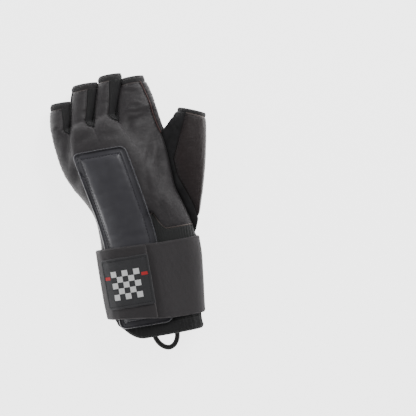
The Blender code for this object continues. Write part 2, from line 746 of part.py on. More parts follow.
def wrist_strap(wrap, end_x):
    """The elastic band: from its free end at end_x it goes over the little finger side, under the palm, up the
    thumb side and then below itself."""
    layer = STRAP_THICKNESS + REST_GAP
    middle_y = STRAP_TOP - STRAP_WIDTH / 2
    end = turn_over_back(wrap, end_x, middle_y)
    left = turn_over_back(wrap, end_x - STRAP_OVERLAP, middle_y)
    rows_across = 3
    fine = [lerp(end, left + 2 * math.pi, i / 720) for i in range(721)]
    run = [0.0]
    for a, b in zip(fine, fine[1:]):
        run.append(run[-1] + (wrap.point(b, middle_y, 0) - wrap.point(a, middle_y, 0)).length)
    steps = round(run[-1] / STRAP_STEP)
    outer, inner = {}, {}
    for i in range(steps + 1):
        turn = curve_through(run, fine, run[-1] * i / steps)
        over = 1 - min(1.0, max(0.0, (turn - left) / math.radians(STRAP_STEP_DOWN)))
        lift = layer * over * over * (3 - 2 * over)
        low, high = strap_edges(turn)
        for j in range(rows_across + 1):
            y = lerp(low, high, j / rows_across)
            inner[i, j] = wrap.point(turn, y, lift)
            outer[i, j] = wrap.point(turn, y, lift + STRAP_THICKNESS)
    cells = [((i, j), (i, j + 1), (i + 1, j + 1), (i + 1, j)) for i in range(steps)
             for j in range(rows_across)]
    return slab("wrist_strap", cells, outer, inner, (0.030, 0.028, 0.030), 0.85)


def strap_tab(wrap, end_x):
    """The label tab on the free end: it lies over the strap from end_x towards the little finger side."""
    top = STRAP_TOP - TAB_DROP
    y_mid = top - TAB_LENGTH / 2
    layer = 2 * STRAP_THICKNESS + REST_GAP
    first = turn_over_back(wrap, end_x, y_mid)
    turns = [first + math.radians(0.5) * i for i in range(260)]
    run = [0.0]
    for a, b in zip(turns, turns[1:]):
        run.append(run[-1] + (wrap.point(b, y_mid, layer) - wrap.point(a, y_mid, layer)).length)

    def lay(u, v, height):
        far = TAB_WIDTH / 2 - u
        k = min(len(run) - 2, sum(1 for r in run if r <= far) - 1)
        turn = lerp(turns[k], turns[k + 1], (far - run[k]) / (run[k + 1] - run[k]))
        return wrap.point(turn, top - v, layer + height)

    return pad("strap_tab", TAB_PROFILE, (TAB_WIDTH, TAB_LENGTH, TAB_THICKNESS), TAB_CORNER, TAB_STEP, lay,
               (0.035, 0.035, 0.038), 0.6)


def pull_loop():
    """The cord loop, a smooth tube through its route's points."""
    points = [Vector(p) for p in LOOP_ROUTE]
    fine = 3
    line = []
    stations = list(range(len(points)))
    for i in range(fine * (len(points) - 1) + 1):
        at = i / fine
        line.append([curve_through(stations, [p[axis] for p in points], at) for axis in range(3)])
    curve = bpy.data.curves.new("pull_loop", "CURVE")
    curve.dimensions = "3D"
    curve.bevel_depth = LOOP_CORD / 2 * METRES
    curve.bevel_resolution = 2
    curve.use_fill_caps = True
    spline = curve.splines.new("POLY")
    spline.points.add(len(line) - 1)
    for point, place in zip(spline.points, line):
        point.co = (*(Vector(place) * METRES), 1)
    made = bpy.data.objects.new("pull_loop", curve)
    bpy.context.scene.collection.objects.link(made)
    finish = bpy.data.materials.new("pull_loop")
    finish.use_nodes = True
    finish.node_tree.nodes["Principled BSDF"].inputs["Base Color"].default_value = (0.03, 0.03, 0.03, 1)
    finish.node_tree.nodes["Principled BSDF"].inputs["Roughness"].default_value = 0.8
    curve.materials.append(finish)


def build():
    for old in list(bpy.data.objects):
        bpy.data.objects.remove(old)
    net = build_net()
    crease(net)
    normals = net.normals()
    tree = net.tree()

    def edge_swell(place):
        """The palm leather's lower edge is turned under, so it stands thicker."""
        line = PALM_LEATHER_ROW * PALM_LENGTH - WRIST_TO_SKID
        if place.z > SKID_DROP + PALM_EDGE_HEIGHT:
            return 0.0
        return PALM_EDGE_SWELL * math.exp(-((place.y - line) / PALM_EDGE_REACH) ** 2)

    leather, suede, cloth = (0.048, 0.043, 0.044), (0.018, 0.019, 0.021), (0.014, 0.014, 0.016)
    wrapped = [sewn_panel(net, normals, "back_leather", LEATHER, leather, 0.5)]
    sewn_panel(net, normals, "palm_leather", LEATHER, leather, 0.5, edge_swell)
    wrapped.append(sewn_panel(net, normals, "palm_suede", SUEDE, suede, 0.95))
    sewn_panel(net, normals, "thumb_leather", LEATHER, leather, 0.5)
    sewn_panel(net, normals, "thumb_suede", SUEDE, suede, 0.95)
    sewn_panel(net, normals, "wrist_elastic", ELASTIC, cloth, 0.9)
    wrapped.append(sewn_panel(net, normals, "wrist_cuff", KNIT, cloth, 0.95))
    for first, second in zip(FINGERS, FINGERS[1:]):
        sewn_panel(net, normals, f"fourchette_{first['name']}_{second['name']}", FOURCHETTE, cloth, 0.9)
    for name in [row["name"] for row in FINGERS] + ["thumb"]:
        sewn_panel(net, normals, "hem_" + name, HEM_WALL, cloth, 0.9)

    on_back, in_palm = drape(tree, back=True), drape(tree, back=False)

    def along_back(u, v, height):
        middle = read(BACK_PAD_LINE, "along", "across", v / BACK_PAD_LENGTH) * BACK_PAD_WIDTH
        return on_back(middle + u, BACK_PAD_TOP - v, height)

    def along_palm(u, v, height):
        middle = read(POCKET_LINE, "along", "across", v / POCKET_LENGTH) * KNUCKLE_WIDTH
        return in_palm(middle + u, POCKET_TOP - v, height)

    back_pad = pad("back_splint_pad", PAD_PROFILE, (BACK_PAD_WIDTH, BACK_PAD_LENGTH, BACK_PAD_THICKNESS),
                   BACK_PAD_CORNER, PAD_STEP, along_back, (0.055, 0.055, 0.062), 0.38)
    pocket = pad("palm_splint_pocket", POCKET_PROFILE, (POCKET_WIDTH, POCKET_LENGTH, POCKET_THICKNESS),
                 POCKET_CORNER, PAD_STEP, along_palm, (0.06, 0.06, 0.064), 0.38, facing=-1)
    outline = rounded_oblong(WINDOW_WIDTH, WINDOW_LENGTH, WINDOW_CORNER)
    window = prism("window_cutter", outline, -WINDOW_CUT / 2, WINDOW_CUT)
    cut = pocket.modifiers.new("window", "BOOLEAN")
    cut.operation = "DIFFERENCE"
    cut.object = window
    skid_plate(tree)

    bpy.context.view_layer.update()
    low, high = STRAP_TOP - STRAP_WIDTH - STRAP_SKEW_BOTTOM, STRAP_TOP + STRAP_SKEW_TOP
    wrap = Wrap([*wrapped, back_pad, pocket], low, high)
    wrist_strap(wrap, STRAP_END)
    strap_tab(wrap, STRAP_END)
    pull_loop()


build()
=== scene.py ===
import functools
import math

import bpy
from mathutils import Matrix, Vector, noise
from mathutils.bvhtree import BVHTree
from mathutils.geometry import convex_hull_2d
from mathutils.kdtree import KDTree


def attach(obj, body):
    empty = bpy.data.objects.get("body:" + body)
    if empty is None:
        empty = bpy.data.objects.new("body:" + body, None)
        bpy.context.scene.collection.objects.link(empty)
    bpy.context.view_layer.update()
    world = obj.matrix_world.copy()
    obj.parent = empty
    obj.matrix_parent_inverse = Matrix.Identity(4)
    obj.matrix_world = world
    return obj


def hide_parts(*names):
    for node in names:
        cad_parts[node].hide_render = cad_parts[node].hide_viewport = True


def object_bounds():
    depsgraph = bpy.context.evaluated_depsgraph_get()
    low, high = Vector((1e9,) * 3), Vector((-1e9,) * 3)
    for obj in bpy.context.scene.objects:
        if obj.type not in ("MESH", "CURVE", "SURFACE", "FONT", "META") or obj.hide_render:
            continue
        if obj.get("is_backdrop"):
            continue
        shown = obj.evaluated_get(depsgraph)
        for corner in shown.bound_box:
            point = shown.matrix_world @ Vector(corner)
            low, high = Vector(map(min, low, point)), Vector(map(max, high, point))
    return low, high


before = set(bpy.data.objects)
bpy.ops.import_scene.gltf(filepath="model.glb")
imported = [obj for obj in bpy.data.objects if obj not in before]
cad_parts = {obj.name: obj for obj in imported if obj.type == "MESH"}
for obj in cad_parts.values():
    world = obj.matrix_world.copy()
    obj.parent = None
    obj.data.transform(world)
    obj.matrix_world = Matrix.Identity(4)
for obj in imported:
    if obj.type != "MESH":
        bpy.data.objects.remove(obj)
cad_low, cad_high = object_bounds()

# The camera, the floor and the light.
# A lens looks straight down at the glove, which lies palm down on a pale table, turned a little to the left.
# One large soft light stands to the upper right and a weaker one to the left.
MM = 0.001
GLOVE_TURN = math.radians(10.0)
LOOK_AT = Vector((70.6, -9.0, 25.0)) * MM
PICTURE_WIDTH = 387.0 * MM
LENS, SENSOR = 85.0, 36.0

camera_data = bpy.data.cameras.new("overhead_camera")
camera_data.lens, camera_data.sensor_width = LENS, SENSOR
camera = bpy.data.objects.new("overhead_camera", camera_data)
camera.location = LOOK_AT + Vector((0, 0, PICTURE_WIDTH * LENS / SENSOR))
camera.rotation_euler = (0, 0, -GLOVE_TURN)
bpy.context.scene.collection.objects.link(camera)
bpy.context.scene.camera = camera


def new_material(name, colour, roughness, metallic=0.0):
    """A material with one Principled shader, and its node tree and shader."""
    made = bpy.data.materials.new(name)
    made.use_nodes = True
    shader = made.node_tree.nodes["Principled BSDF"]
    shader.inputs["Base Color"].default_value = (*colour, 1)
    shader.inputs["Roughness"].default_value = roughness
    shader.inputs["Metallic"].default_value = metallic
    return made, made.node_tree, shader


LIGHTS_AIM = Vector((0, 0, 20)) * MM


def soft_light(name, place, size, power, colour=(1, 1, 1)):
    """A round soft box that faces the glove."""
    data = bpy.data.lights.new(name, "AREA")
    data.shape, data.size, data.energy, data.color = "DISK", size, power, colour
    made = bpy.data.objects.new(name, data)
    made.location = place
    made.rotation_euler = (LIGHTS_AIM - Vector(place)).to_track_quat("-Z", "Y").to_euler()
    bpy.context.scene.collection.objects.link(made)


soft_light("key_softbox", place=(0.70, 0.75, 0.85), size=0.50, power=9.0)
soft_light("fill_softbox", place=(-0.85, 0.10, 0.60), size=0.60, power=2.5, colour=(0.97, 0.98, 1.0))

WORLD_LIGHT = 0.28
TABLE_GLOW = 3.2
TABLE_HALF, TABLE_LEVEL = 3.0, -0.4 * MM
world = bpy.data.worlds.new("studio")
world.use_nodes = True
world_shader = world.node_tree.nodes["Background"]
world_shader.inputs["Color"].default_value = (1, 1, 1, 1)
world_shader.inputs["Strength"].default_value = WORLD_LIGHT
bpy.context.scene.world = world

floor_mesh = bpy.data.meshes.new("table")
floor_corners = [(x * TABLE_HALF, y * TABLE_HALF, TABLE_LEVEL) for x, y in ((-1, -1), (1, -1), (1, 1), (-1, 1))]
floor_mesh.from_pydata(floor_corners, [], [(0, 1, 2, 3)])
floor = bpy.data.objects.new("table", floor_mesh)
table_paint, _, table_shader = new_material("pale_table", (0.90, 0.90, 0.90), 0.8)
table_shader.inputs["Emission Color"].default_value = (1, 1, 1, 1)
table_shader.inputs["Emission Strength"].default_value = TABLE_GLOW
floor_mesh.materials.append(table_paint)
bpy.context.scene.collection.objects.link(floor)
floor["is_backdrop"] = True

# The pull loop.
# A cord of 5 mm leaves the palm pocket's end, lies on the table in one bend and goes back in. Its sheath is
# braided from sixteen strands, eight on each slant.
CORD_THICKNESS = 5.0
CORD_STEPS, CORD_SIDES = 12, 24
CORD_ROUTE = (
    (0.8, -108.4, 5.2), (0.8, -112.5, 5.2), (0.1, -116.8, 4.6), (-0.2, -121.0, 3.7), (2.3, -127.0, 3.1),
    (6.5, -131.4, 2.9), (11.5, -133.2, 2.8), (16.4, -131.3, 2.9), (19.8, -126.6, 3.1), (21.2, -121.0, 3.7),
    (20.9, -116.8, 4.6), (20.2, -112.5, 5.2), (20.2, -108.4, 5.2),
)
BRAID_PITCH = 7.0
BRAID_STRANDS = 8
BRAID_RELIEF = 0.16


def lerp(a, b, share):
    return a + (b - a) * share


def curve_through(stations, values, at):
    """A smooth curve through the values at the stations, read at one station."""
    last = len(stations) - 2
    i = max(0, min(last, sum(1 for s in stations if s <= at) - 1))
    before, after = max(i - 1, 0), min(i + 2, last + 1)
    step = stations[i + 1] - stations[i]
    t = (at - stations[i]) / step
    slope_in = (values[i + 1] - values[before]) / (stations[i + 1] - stations[before]) * step
    slope_out = (values[after] - values[i]) / (stations[after] - stations[i]) * step
    return (
        (2 * t**3 - 3 * t**2 + 1) * values[i]
        + (t**3 - 2 * t**2 + t) * slope_in
        + (3 * t**2 - 2 * t**3) * values[i + 1]
        + (t**3 - t**2) * slope_out
    )


def new_piece(name, points, faces, material, replaces=(), uvs=None, tones=None):
    """One finished piece in millimetres, riding on the glove. uvs and tones hold a value for each point."""
    mesh = bpy.data.meshes.new(name)
    mesh.from_pydata([Vector(p) * MM for p in points], [], faces)
    mesh.materials.append(material)
    if uvs:
        layer = mesh.uv_layers.new(name="weave")
        for loop in mesh.loops:
            layer.data[loop.index].uv = uvs[loop.vertex_index]
    for kind, values in (tones or {}).items():
        mesh.attributes.new(kind, "FLOAT", "POINT").data.foreach_set("value", values)
    mesh.update()
    mesh.shade_smooth()
    made = bpy.data.objects.new(name, mesh)
    bpy.context.scene.collection.objects.link(made)
    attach(made, "root")
    if replaces:
        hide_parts(*replaces)
    return made


def sweep(line, ring, radius):
    """A tube round a line of points with flat ends; radius(distance, angle) gives its skin."""
    points, faces, uvs = [], [], []
    run = 0.0
    up = Vector((0, 0, 1))
    for i, place in enumerate(line):
        run += (place - line[i - 1]).length if i else 0.0
        ahead = (line[min(i + 1, len(line) - 1)] - line[max(i - 1, 0)]).normalized()
        side = ahead.cross(up).normalized()
        over = side.cross(ahead)
        for j in range(ring):
            angle = 2 * math.pi * j / ring
            points.append(place + (side * math.cos(angle) + over * math.sin(angle)) * radius(run, angle))
            uvs.append((run, j / ring))
    for i in range(len(line) - 1):
        for j in range(ring):
            a, b = i * ring + j, i * ring + (j + 1) % ring
            faces.append((b, a, a + ring, b + ring))
    faces.append(tuple(range(ring)))
    faces.append(tuple(reversed(range(len(points) - ring, len(points)))))
    return points, faces, uvs


cord_line = []
for cord_step in range(CORD_STEPS * (len(CORD_ROUTE) - 1) + 1):
    at = [curve_through(range(len(CORD_ROUTE)), values, cord_step / CORD_STEPS) for values in zip(*CORD_ROUTE)]
    cord_line.append(Vector(at))
cord_length = sum((b - a).length for a, b in zip(cord_line, cord_line[1:]))


def braided(run, angle):
    """The sheath's skin: where two strands cross, the upper one stands proud."""
    left = abs(math.sin(BRAID_STRANDS / 2 * angle + math.pi * run / BRAID_PITCH * 2))
    right = abs(math.sin(BRAID_STRANDS / 2 * angle - math.pi * run / BRAID_PITCH * 2))
    return CORD_THICKNESS / 2 - BRAID_RELIEF * (1.6 - max(left, right) - 0.4 * min(left, right))


def feed(tree, socket, value):
    """Joins a socket to another one, or sets it."""
    if isinstance(value, bpy.types.NodeSocket):
        tree.links.new(value, socket)
    else:
        socket.default_value = value


def bump_from(tree, height, distance, strength=1.0):
    """A Bump node that reads a height in millimetres and feeds the shader's Normal."""
    bump = tree.nodes.new("ShaderNodeBump")
    bump.inputs["Distance"].default_value = distance * MM
    bump.inputs["Strength"].default_value = strength
    tree.links.new(height, bump.inputs["Height"])
    tree.links.new(bump.outputs["Normal"], tree.nodes["Principled BSDF"].inputs["Normal"])


def new_group(name, ins, outs):
    """A shader node group of plain numbers, with the values of its inputs, and its two end nodes."""
    group = bpy.data.node_groups.new(name, "ShaderNodeTree")
    for label, value in ins.items():
        socket = group.interface.new_socket(label, in_out="INPUT", socket_type="NodeSocketFloat")
        socket.default_value = value
    for label in outs:
        group.interface.new_socket(label, in_out="OUTPUT", socket_type="NodeSocketFloat")
    return group, group.nodes.new("NodeGroupInput").outputs, group.nodes.new("NodeGroupOutput").inputs


def put_group(tree, group, **values):
    """A group placed in a material with its own values, and its outputs."""
    node = tree.nodes.new("ShaderNodeGroup")
    node.node_tree = group
    for label, value in values.items():
        node.inputs[label].default_value = value
    return node.outputs


def maths(tree, operation, a, b=None, clamp=False):
    """A Math node on two numbers or sockets."""
    node = tree.nodes.new("ShaderNodeMath")
    node.operation, node.use_clamp = operation, clamp
    feed(tree, node.inputs[0], a)
    if b is not None:
        feed(tree, node.inputs[1], b)
    return node.outputs[0]


def blend_colours(tree, share, a, b):
    """A Mix node between two colours or sockets, by the share that a socket gives."""
    node = tree.nodes.new("ShaderNodeMix")
    node.data_type = "RGBA"
    tree.links.new(share, node.inputs[0])
    for socket, value in zip([s for s in node.inputs if s.type == "RGBA"], (a, b)):
        feed(tree, socket, (*value, 1) if isinstance(value, tuple) else value)
    return next(s for s in node.outputs if s.type == "RGBA")


def weave_map(group):
    """A piece's own map in millimetres: along it and across it."""
    uv = group.nodes.new("ShaderNodeUVMap")
    uv.uv_map = "weave"
    parts = group.nodes.new("ShaderNodeSeparateXYZ")
    group.links.new(uv.outputs["UV"], parts.inputs[0])
    return parts.outputs["X"], parts.outputs["Y"]


def cloud(group, vector, scale, detail, distortion=0.0):
    """Soft noise on the object's own coordinates."""
    node = group.nodes.new("ShaderNodeTexNoise")
    for label, value in (("Vector", vector), ("Scale", scale), ("Detail", detail), ("Distortion", distortion)):
        feed(group, node.inputs[label], value)
    return node.outputs["Fac"]


# Threads of a woven piece: ribs along it, crossed by a finer row, with a little fuzz on both.
# Their tone follows their height: painted shade between the threads and painted highlight on their crests.
CROSS_RELIEF = 0.45
FUZZ_SCALE = 900.0
thread_group, thread_in, thread_out = new_group(
    "Thread ribs", {"Rib": 1.0, "Cross": 1.0, "Fuzz": 0.3}, ("Height", "Tone"))
thread_maths = functools.partial(maths, thread_group)
along_weave, across_weave = weave_map(thread_group)
rib_turn = thread_maths("DIVIDE", thread_maths("MULTIPLY", across_weave, math.pi), thread_in["Rib"])
cross_turn = thread_maths("DIVIDE", thread_maths("MULTIPLY", along_weave, math.pi), thread_in["Cross"])
rib_wave = thread_maths("ABSOLUTE", thread_maths("SINE", rib_turn))
cross_wave = thread_maths("ABSOLUTE", thread_maths("SINE", thread_maths("ADD", cross_turn, rib_turn)))
thread_place = thread_group.nodes.new("ShaderNodeTexCoord").outputs["Object"]
thread_fuzz = thread_maths("MULTIPLY", cloud(thread_group, thread_place, FUZZ_SCALE, 3.0), thread_in["Fuzz"])
woven = thread_maths("ADD", rib_wave, thread_maths("MULTIPLY", cross_wave, CROSS_RELIEF))
rough_woven = thread_maths("ADD", woven, thread_fuzz)
thread_group.links.new(rough_woven, thread_out["Height"])
thread_group.links.new(thread_maths("MULTIPLY", rough_woven, 0.6, clamp=True), thread_out["Tone"])


def woven_material(name, dark, light, roughness, rib, cross, depth, fuzz=0.4, sheen=0.0):
    """A woven or knitted cloth whose threads are rib and cross millimetres apart."""
    made, tree, shader = new_material(name, dark, roughness)
    threads = put_group(tree, thread_group, Rib=rib, Cross=cross, Fuzz=fuzz)
    # The colour follows the threads' tone: painted shade between them and painted highlight on their crests.
    tree.links.new(blend_colours(tree, threads["Tone"], dark, light), shader.inputs["Base Color"])
    shader.inputs["Sheen Weight"].default_value = sheen
    shader.inputs["Sheen Roughness"].default_value = 0.5
    bump_from(tree, threads["Height"], depth)
    return made


cord_points, cord_faces, cord_uvs = sweep(cord_line, CORD_SIDES, braided)
cord_cloth = woven_material("black_braid", (0.014, 0.014, 0.014), (0.05, 0.049, 0.048), roughness=0.75, rib=0.10,
                            cross=0.7, depth=0.05)
pull_loop_cord = new_piece("pull_loop_cord", cord_points, cord_faces, cord_cloth, ["pull_loop"],
                           uvs=cord_uvs)

# The hand.
# Leather, suede and knit panels are sewn into one hand-shaped skin. The skin is a net of four-sided cells
# through cross-sections of the cuff and palm, four finger sleeves and a thumb sleeve, and each panel is cut
# out of it.
KNUCKLE_WIDTH = 100.0
PALM_LENGTH = 128.0
PALM_DEPTH = 33.0
WRIST_TO_SKID = 38.0
SKID_DROP = 9.2
BODY_SQUARENESS = 2.5
FINGER_LENGTH = 40.0
FINGER_WIDTH = 22.0
FINGER_DEPTH = 20.0
FINGER_SWELL = 0.8
HEM_LENGTH = 6.0
HEM_DROP, HEM_DEPTH = 0.05, 0.47
THUMB_LENGTH = 88.0
THUMB_WIDTH = 28.0
THUMB_DEPTH = 24.0
THUMB_BULGE, THUMB_BULGE_OUT, THUMB_BULGE_UP = 3.5, 0.9, 0.7
THUMB_HEM_LENGTH = 3.5
THUMB_HEM_TAPER = 0.03
CUFF_LENGTH = 79.6
FINE = 6


def rows(columns, *values):
    """A table as a list of rows, each a dict under the named columns."""
    return [dict(zip(columns.split(), row)) for row in values]


# Cross-sections from the cuff's end to the finger webs. along: share of CUFF_LENGTH below the wrist edge
# (negative) or of PALM_LENGTH above it. little, index: the sides, shares of KNUCKLE_WIDTH. skew, bow: how far
# the index side and the middle lie ahead. side, top, under: heights, shares of PALM_DEPTH. spread: how far
# the columns follow the fingers. valley: how deep the valleys between the fingers are.
BODY_SECTIONS = rows(
    "along  little  index  skew   bow    side  top   under  spread valley",
    (-1.00, -0.290, 0.470, 0.000, 0.000, 0.36, 0.76, -0.02, 0.00, 0.00),
    (-0.82, -0.325, 0.477, 0.000, 0.000, 0.36, 0.80, -0.05, 0.00, 0.00),
    (-0.45, -0.352, 0.512, 0.000, 0.000, 0.36, 0.82, -0.05, 0.00, 0.00),
    (0.00, -0.345, 0.555, 0.000, 0.000, 0.37, 0.83, -0.05, 0.00, 0.00),
    (0.14, -0.335, 0.545, 0.000, 0.000, 0.38, 0.86, -0.03, 0.00, 0.00),
    (0.30, -0.350, 0.495, 0.000, 0.000, 0.39, 0.93, 0.00, 0.05, 0.00),
    (0.42, -0.415, 0.455, 0.000, 0.000, 0.39, 0.97, 0.01, 0.15, 0.00),
    (0.54, -0.505, 0.450, 0.010, 0.000, 0.39, 1.00, 0.01, 0.30, 0.00),
    (0.68, -0.572, 0.445, 0.075, -0.035, 0.39, 1.01, 0.00, 0.55, 0.00),
    (0.83, -0.602, 0.410, 0.060, -0.010, 0.39, 0.98, 0.02, 0.80, 0.06),
    (0.92, -0.612, 0.392, 0.070, 0.010, 0.39, 0.90, 0.05, 0.95, 0.32),
    (0.955, -0.614, 0.390, 0.078, 0.020, 0.38, 0.84, 0.06, 1.00, 1.00),
)
# Finger sleeves. base: share of the hand's width at the webs. across, ahead, width, level and hem_across,
# hem_width: the middle, size and height of the leather's end and the hem's, shares of the hand's and fingers'
# sizes. left, right: where the back leather ends on the sleeve, degrees from its top, at its base and its
# end.
FINGERS = rows(
    "name     base   across ahead width level hem_across hem_width left_base left_end right_base right_end",
    ("little", 0.176, -0.490, 0.55, 1.00, 0.17, -0.487, 0.92, -90, -90, 30, 4),
    ("ring", 0.224, -0.242, 0.89, 1.19, 0.22, -0.232, 1.10, -60, -64, 32, 16),
    ("middle", 0.218, 0.003, 1.00, 1.05, 0.24, 0.014, 0.99, -60, -76, 32, 2),
    ("index", 0.382, 0.214, 0.86, 1.09, 0.26, 0.214, 1.02, -64, -80, 52, 38),
)
CUFF_CORNER_RISE = 0.176
CUFF_CORNER_REACH = 0.3
CUFF_CORNER_SHARE = 0.294
TAB_RISE = 0.13
TAB_REACH = 0.10
TAB_UNDER_PAD = 0.40
TAB_CORNER_FROM = 0.60
TAB_CORNER_TO = 0.74
PALMAR_EDGE = 68.0
LOBE_DEPTH = 0.66
# Rows of cells. The palm's rows hold the lines that the panels end on.
CUFF_ROWS = (-1.0, -0.88, -0.66, -0.44, -0.22, 0.0)
TAB_ROW = 0.13
HOLE_FOOT = 0.07
HOLE_TOP = 0.76
PALM_LEATHER_ROW = HOLE_TOP
SLIT_ROW = 0.92
WEB_ROW = 0.955
PALM_ROWS = (0.0, HOLE_FOOT, TAB_ROW, 0.21, 0.29, 0.38, 0.47, 0.55, 0.62,
             0.69, HOLE_TOP, 0.82, 0.87, SLIT_ROW, WEB_ROW)
FINGER_ROWS = (0.0, 0.25, 0.5, 0.75, 1.0)
HEM_ROWS = (1.0, 1.5, 2.0)
THUMB_ROWS = (0.0, 0.14, 0.32, 0.5, 0.68, 0.85, 1.0)
THUMB_HEM_ROW = 2.0
THUMB_SUEDE_ROW = 0.14
THUMB_END_ACROSS = 0.80
THUMB_END_AHEAD = 0.918
THUMB_YAW = 22.0
THUMB_LEVEL = 0.24
THUMB_LEATHER_FROM = 0.19
THUMB_LEATHER_TO = 0.72


@functools.lru_cache(maxsize=None)
def section_at(along):
    stations = [row["along"] for row in BODY_SECTIONS]
    return {column: curve_through(stations, [row[column] for row in BODY_SECTIONS], along)
            for column in BODY_SECTIONS[0] if column != "along"}


def ramp(value, start, end):
    """0 at start, 1 at end, straight in between."""
    return min(1.0, max(0.0, (value - start) / (end - start)))


def rounded(value, squareness):
    """A sine or cosine pushed towards a squarer section."""
    return math.copysign(abs(value) ** (2 / squareness), value)


def body_point(finger, degrees, back, along):
    """A point of the hand or cuff: its finger column, its angle on that finger, its face and its row."""
    at = section_at(along)
    low, high = at["little"] * KNUCKLE_WIDTH, at["index"] * KNUCKLE_WIDTH
    start = sum(f["base"] for f in FINGERS[:finger])
    share = start + FINGERS[finger]["base"] * (1 + math.sin(math.radians(degrees))) / 2
    turn = math.pi / 2 * (2 * (finger + (degrees + 90) / 180) / len(FINGERS) - 1)
    wide = (1 + rounded(math.sin(turn), BODY_SQUARENESS)) / 2
    share = lerp(wide, share, at["spread"])
    level = at["top"] if back else at["under"]
    around = rounded(max(math.cos(turn), 0.0), BODY_SQUARENESS)
    lobe = LOBE_DEPTH * math.cos(math.radians(degrees)) if abs(degrees) < 90 else 0.0
    bulge = lerp(around, lobe, max(0.0, at["valley"]))
    forward = along * (CUFF_LENGTH if along < 0 else PALM_LENGTH) - WRIST_TO_SKID
    forward += (at["skew"] * share + at["bow"] * (1 - (2 * share - 1) ** 2)) * PALM_LENGTH
    if along < 0:
        reach = max(0.0, 1 - (1 + along) / CUFF_CORNER_REACH)
        forward += CUFF_CORNER_RISE * CUFF_LENGTH * reach * max(0.0, 1 - share / CUFF_CORNER_SHARE) ** 2
    if back:
        beside_pad = ramp(share, TAB_CORNER_TO, TAB_CORNER_FROM) ** 2
        beside_pad *= ramp(share, TAB_UNDER_PAD, TAB_CORNER_FROM)
        forward += TAB_RISE * PALM_LENGTH * beside_pad * math.exp(-(((along - TAB_ROW) / TAB_REACH) ** 2))
    height = SKID_DROP + PALM_DEPTH * (at["side"] + (level - at["side"]) * bulge)
    return Vector((lerp(low, high, share), forward, height))


def finger_point(finger, degrees, back, along):
    """A point of a finger sleeve, from 0 at the web to 1 at the leather's end and 2 at the hem's."""
    row = FINGERS[finger]
    base = body_point(finger, degrees, back, WEB_ROW)
    web = WEB_ROW * PALM_LENGTH - WRIST_TO_SKID
    across, up = math.sin(math.radians(degrees)), math.cos(math.radians(degrees)) * (1 if back else -1)
    level = SKID_DROP + row["level"] * FINGER_DEPTH
    end = Vector((row["across"] * KNUCKLE_WIDTH + across * row["width"] * FINGER_WIDTH / 2,
                  web + row["ahead"] * FINGER_LENGTH, level + up * FINGER_DEPTH / 2))
    if along <= 1:
        return base.lerp(end, along) + Vector((across * FINGER_SWELL * 4 * along * (1 - along), 0, 0))
    tip = Vector((row["hem_across"] * KNUCKLE_WIDTH + across * row["hem_width"] * FINGER_WIDTH / 2,
                  end.y + HEM_LENGTH, level + (up * HEM_DEPTH - HEM_DROP) * FINGER_DEPTH))
    return end.lerp(tip, along - 1)


def thumb_point(foot, turn, along):
    """A point of the thumb sleeve between its foot, on the thumb hole's rim, and the ring at its end."""
    yaw = math.radians(THUMB_YAW)
    out, ahead = Vector((math.cos(yaw), -math.sin(yaw), 0)), Vector((math.sin(yaw), math.cos(yaw), 0))
    angle = 2 * math.pi * turn
    middle = Vector((THUMB_END_ACROSS * THUMB_LENGTH, THUMB_END_AHEAD * THUMB_LENGTH,
                     SKID_DROP + THUMB_LEVEL * THUMB_DEPTH))
    ring = out * (-math.cos(angle) * THUMB_WIDTH / 2) + Vector((0, 0, math.sin(angle) * THUMB_DEPTH / 2))
    end = middle + ring
    if along > 1:
        return end + (ahead * THUMB_HEM_LENGTH - ring * THUMB_HEM_TAPER) * (along - 1)
    swell = out * max(0.0, -math.cos(angle)) * THUMB_BULGE_OUT + Vector((0, 0, math.sin(angle) * THUMB_BULGE_UP))
    return foot.lerp(end, along) + swell * THUMB_BULGE * 4 * along * (1 - along)


def at_fraction(values, index):
    """A list read at a fractional place."""
    i = min(int(index), len(values) - 2)
    return lerp(values[i], values[i + 1], index - i)


def spaced(low, high, count):
    return [lerp(low, high, i / count) for i in range(count)]


def columns_of(finger, back, end):
    """The angles of a finger's columns at its base or end, with the panel's edges among them."""
    row = FINGERS[finger]
    if not back:
        return [-90.0, *spaced(-PALMAR_EDGE, PALMAR_EDGE, 4), PALMAR_EDGE, 90.0]
    left, right = row["left_" + end], row["right_" + end]
    outer = [] if left == -90 else spaced(-90, left, 2)
    return [*outer, *spaced(left, right, 4 if outer else 5), *spaced(right, 90, 2), 90.0]


STATIONS = [("cuff", s) for s in CUFF_ROWS[:-1]] + [("palm", s) for s in PALM_ROWS]
STATIONS += [("finger", s) for s in FINGER_ROWS[1:]] + [("hem", s) for s in HEM_ROWS[1:]]
WEB = len(CUFF_ROWS) + len(PALM_ROWS) - 2


def panel_of(finger, column, count, back, kind, station):
    """The panel that a cell of the hand belongs to, by its column and its lower row."""
    right_edge = count - 2
    if back:
        left_edge = 2 if FINGERS[finger]["left_base"] != -90 else 0
        in_slit = column < left_edge or (column >= right_edge and finger < 3)
    else:
        in_slit = (column == 0 and finger > 0) or (column == count - 1 and finger < 3)
    if kind == "cuff":
        return "wrist_cuff"
    if kind == "hem":
        return "hem_" + FINGERS[finger]["name"]
    if in_slit and (kind == "finger" or station == SLIT_ROW):
        gap = finger if column >= count // 2 else finger - 1
        return f"fourchette_{FINGERS[gap]['name']}_{FINGERS[gap + 1]['name']}"
    if not back or (finger == 3 and column >= right_edge):
        return "palm_leather" if kind == "finger" or station >= PALM_LEATHER_ROW else "palm_suede"
    if kind == "palm" and station < TAB_ROW and (finger == 3 or (finger == 2 and column >= 1)):
        return "wrist_elastic"
    return "back_leather"


def corner_name(finger, column, last, back, row):
    """The name of a corner, which neighbouring faces and fingers share. It counts in fine steps."""
    on_side = column in (0, last)
    if row > WEB * FINE:
        return ("finger", row, finger, column, None if on_side else back)
    outermost = (finger, column) in ((0, 0), (len(FINGERS) - 1, last))
    shared = on_side if row == WEB * FINE else outermost
    place = (finger + 1, 0) if column == last else (finger, column)
    return ("body", row, *place, None if shared else back)


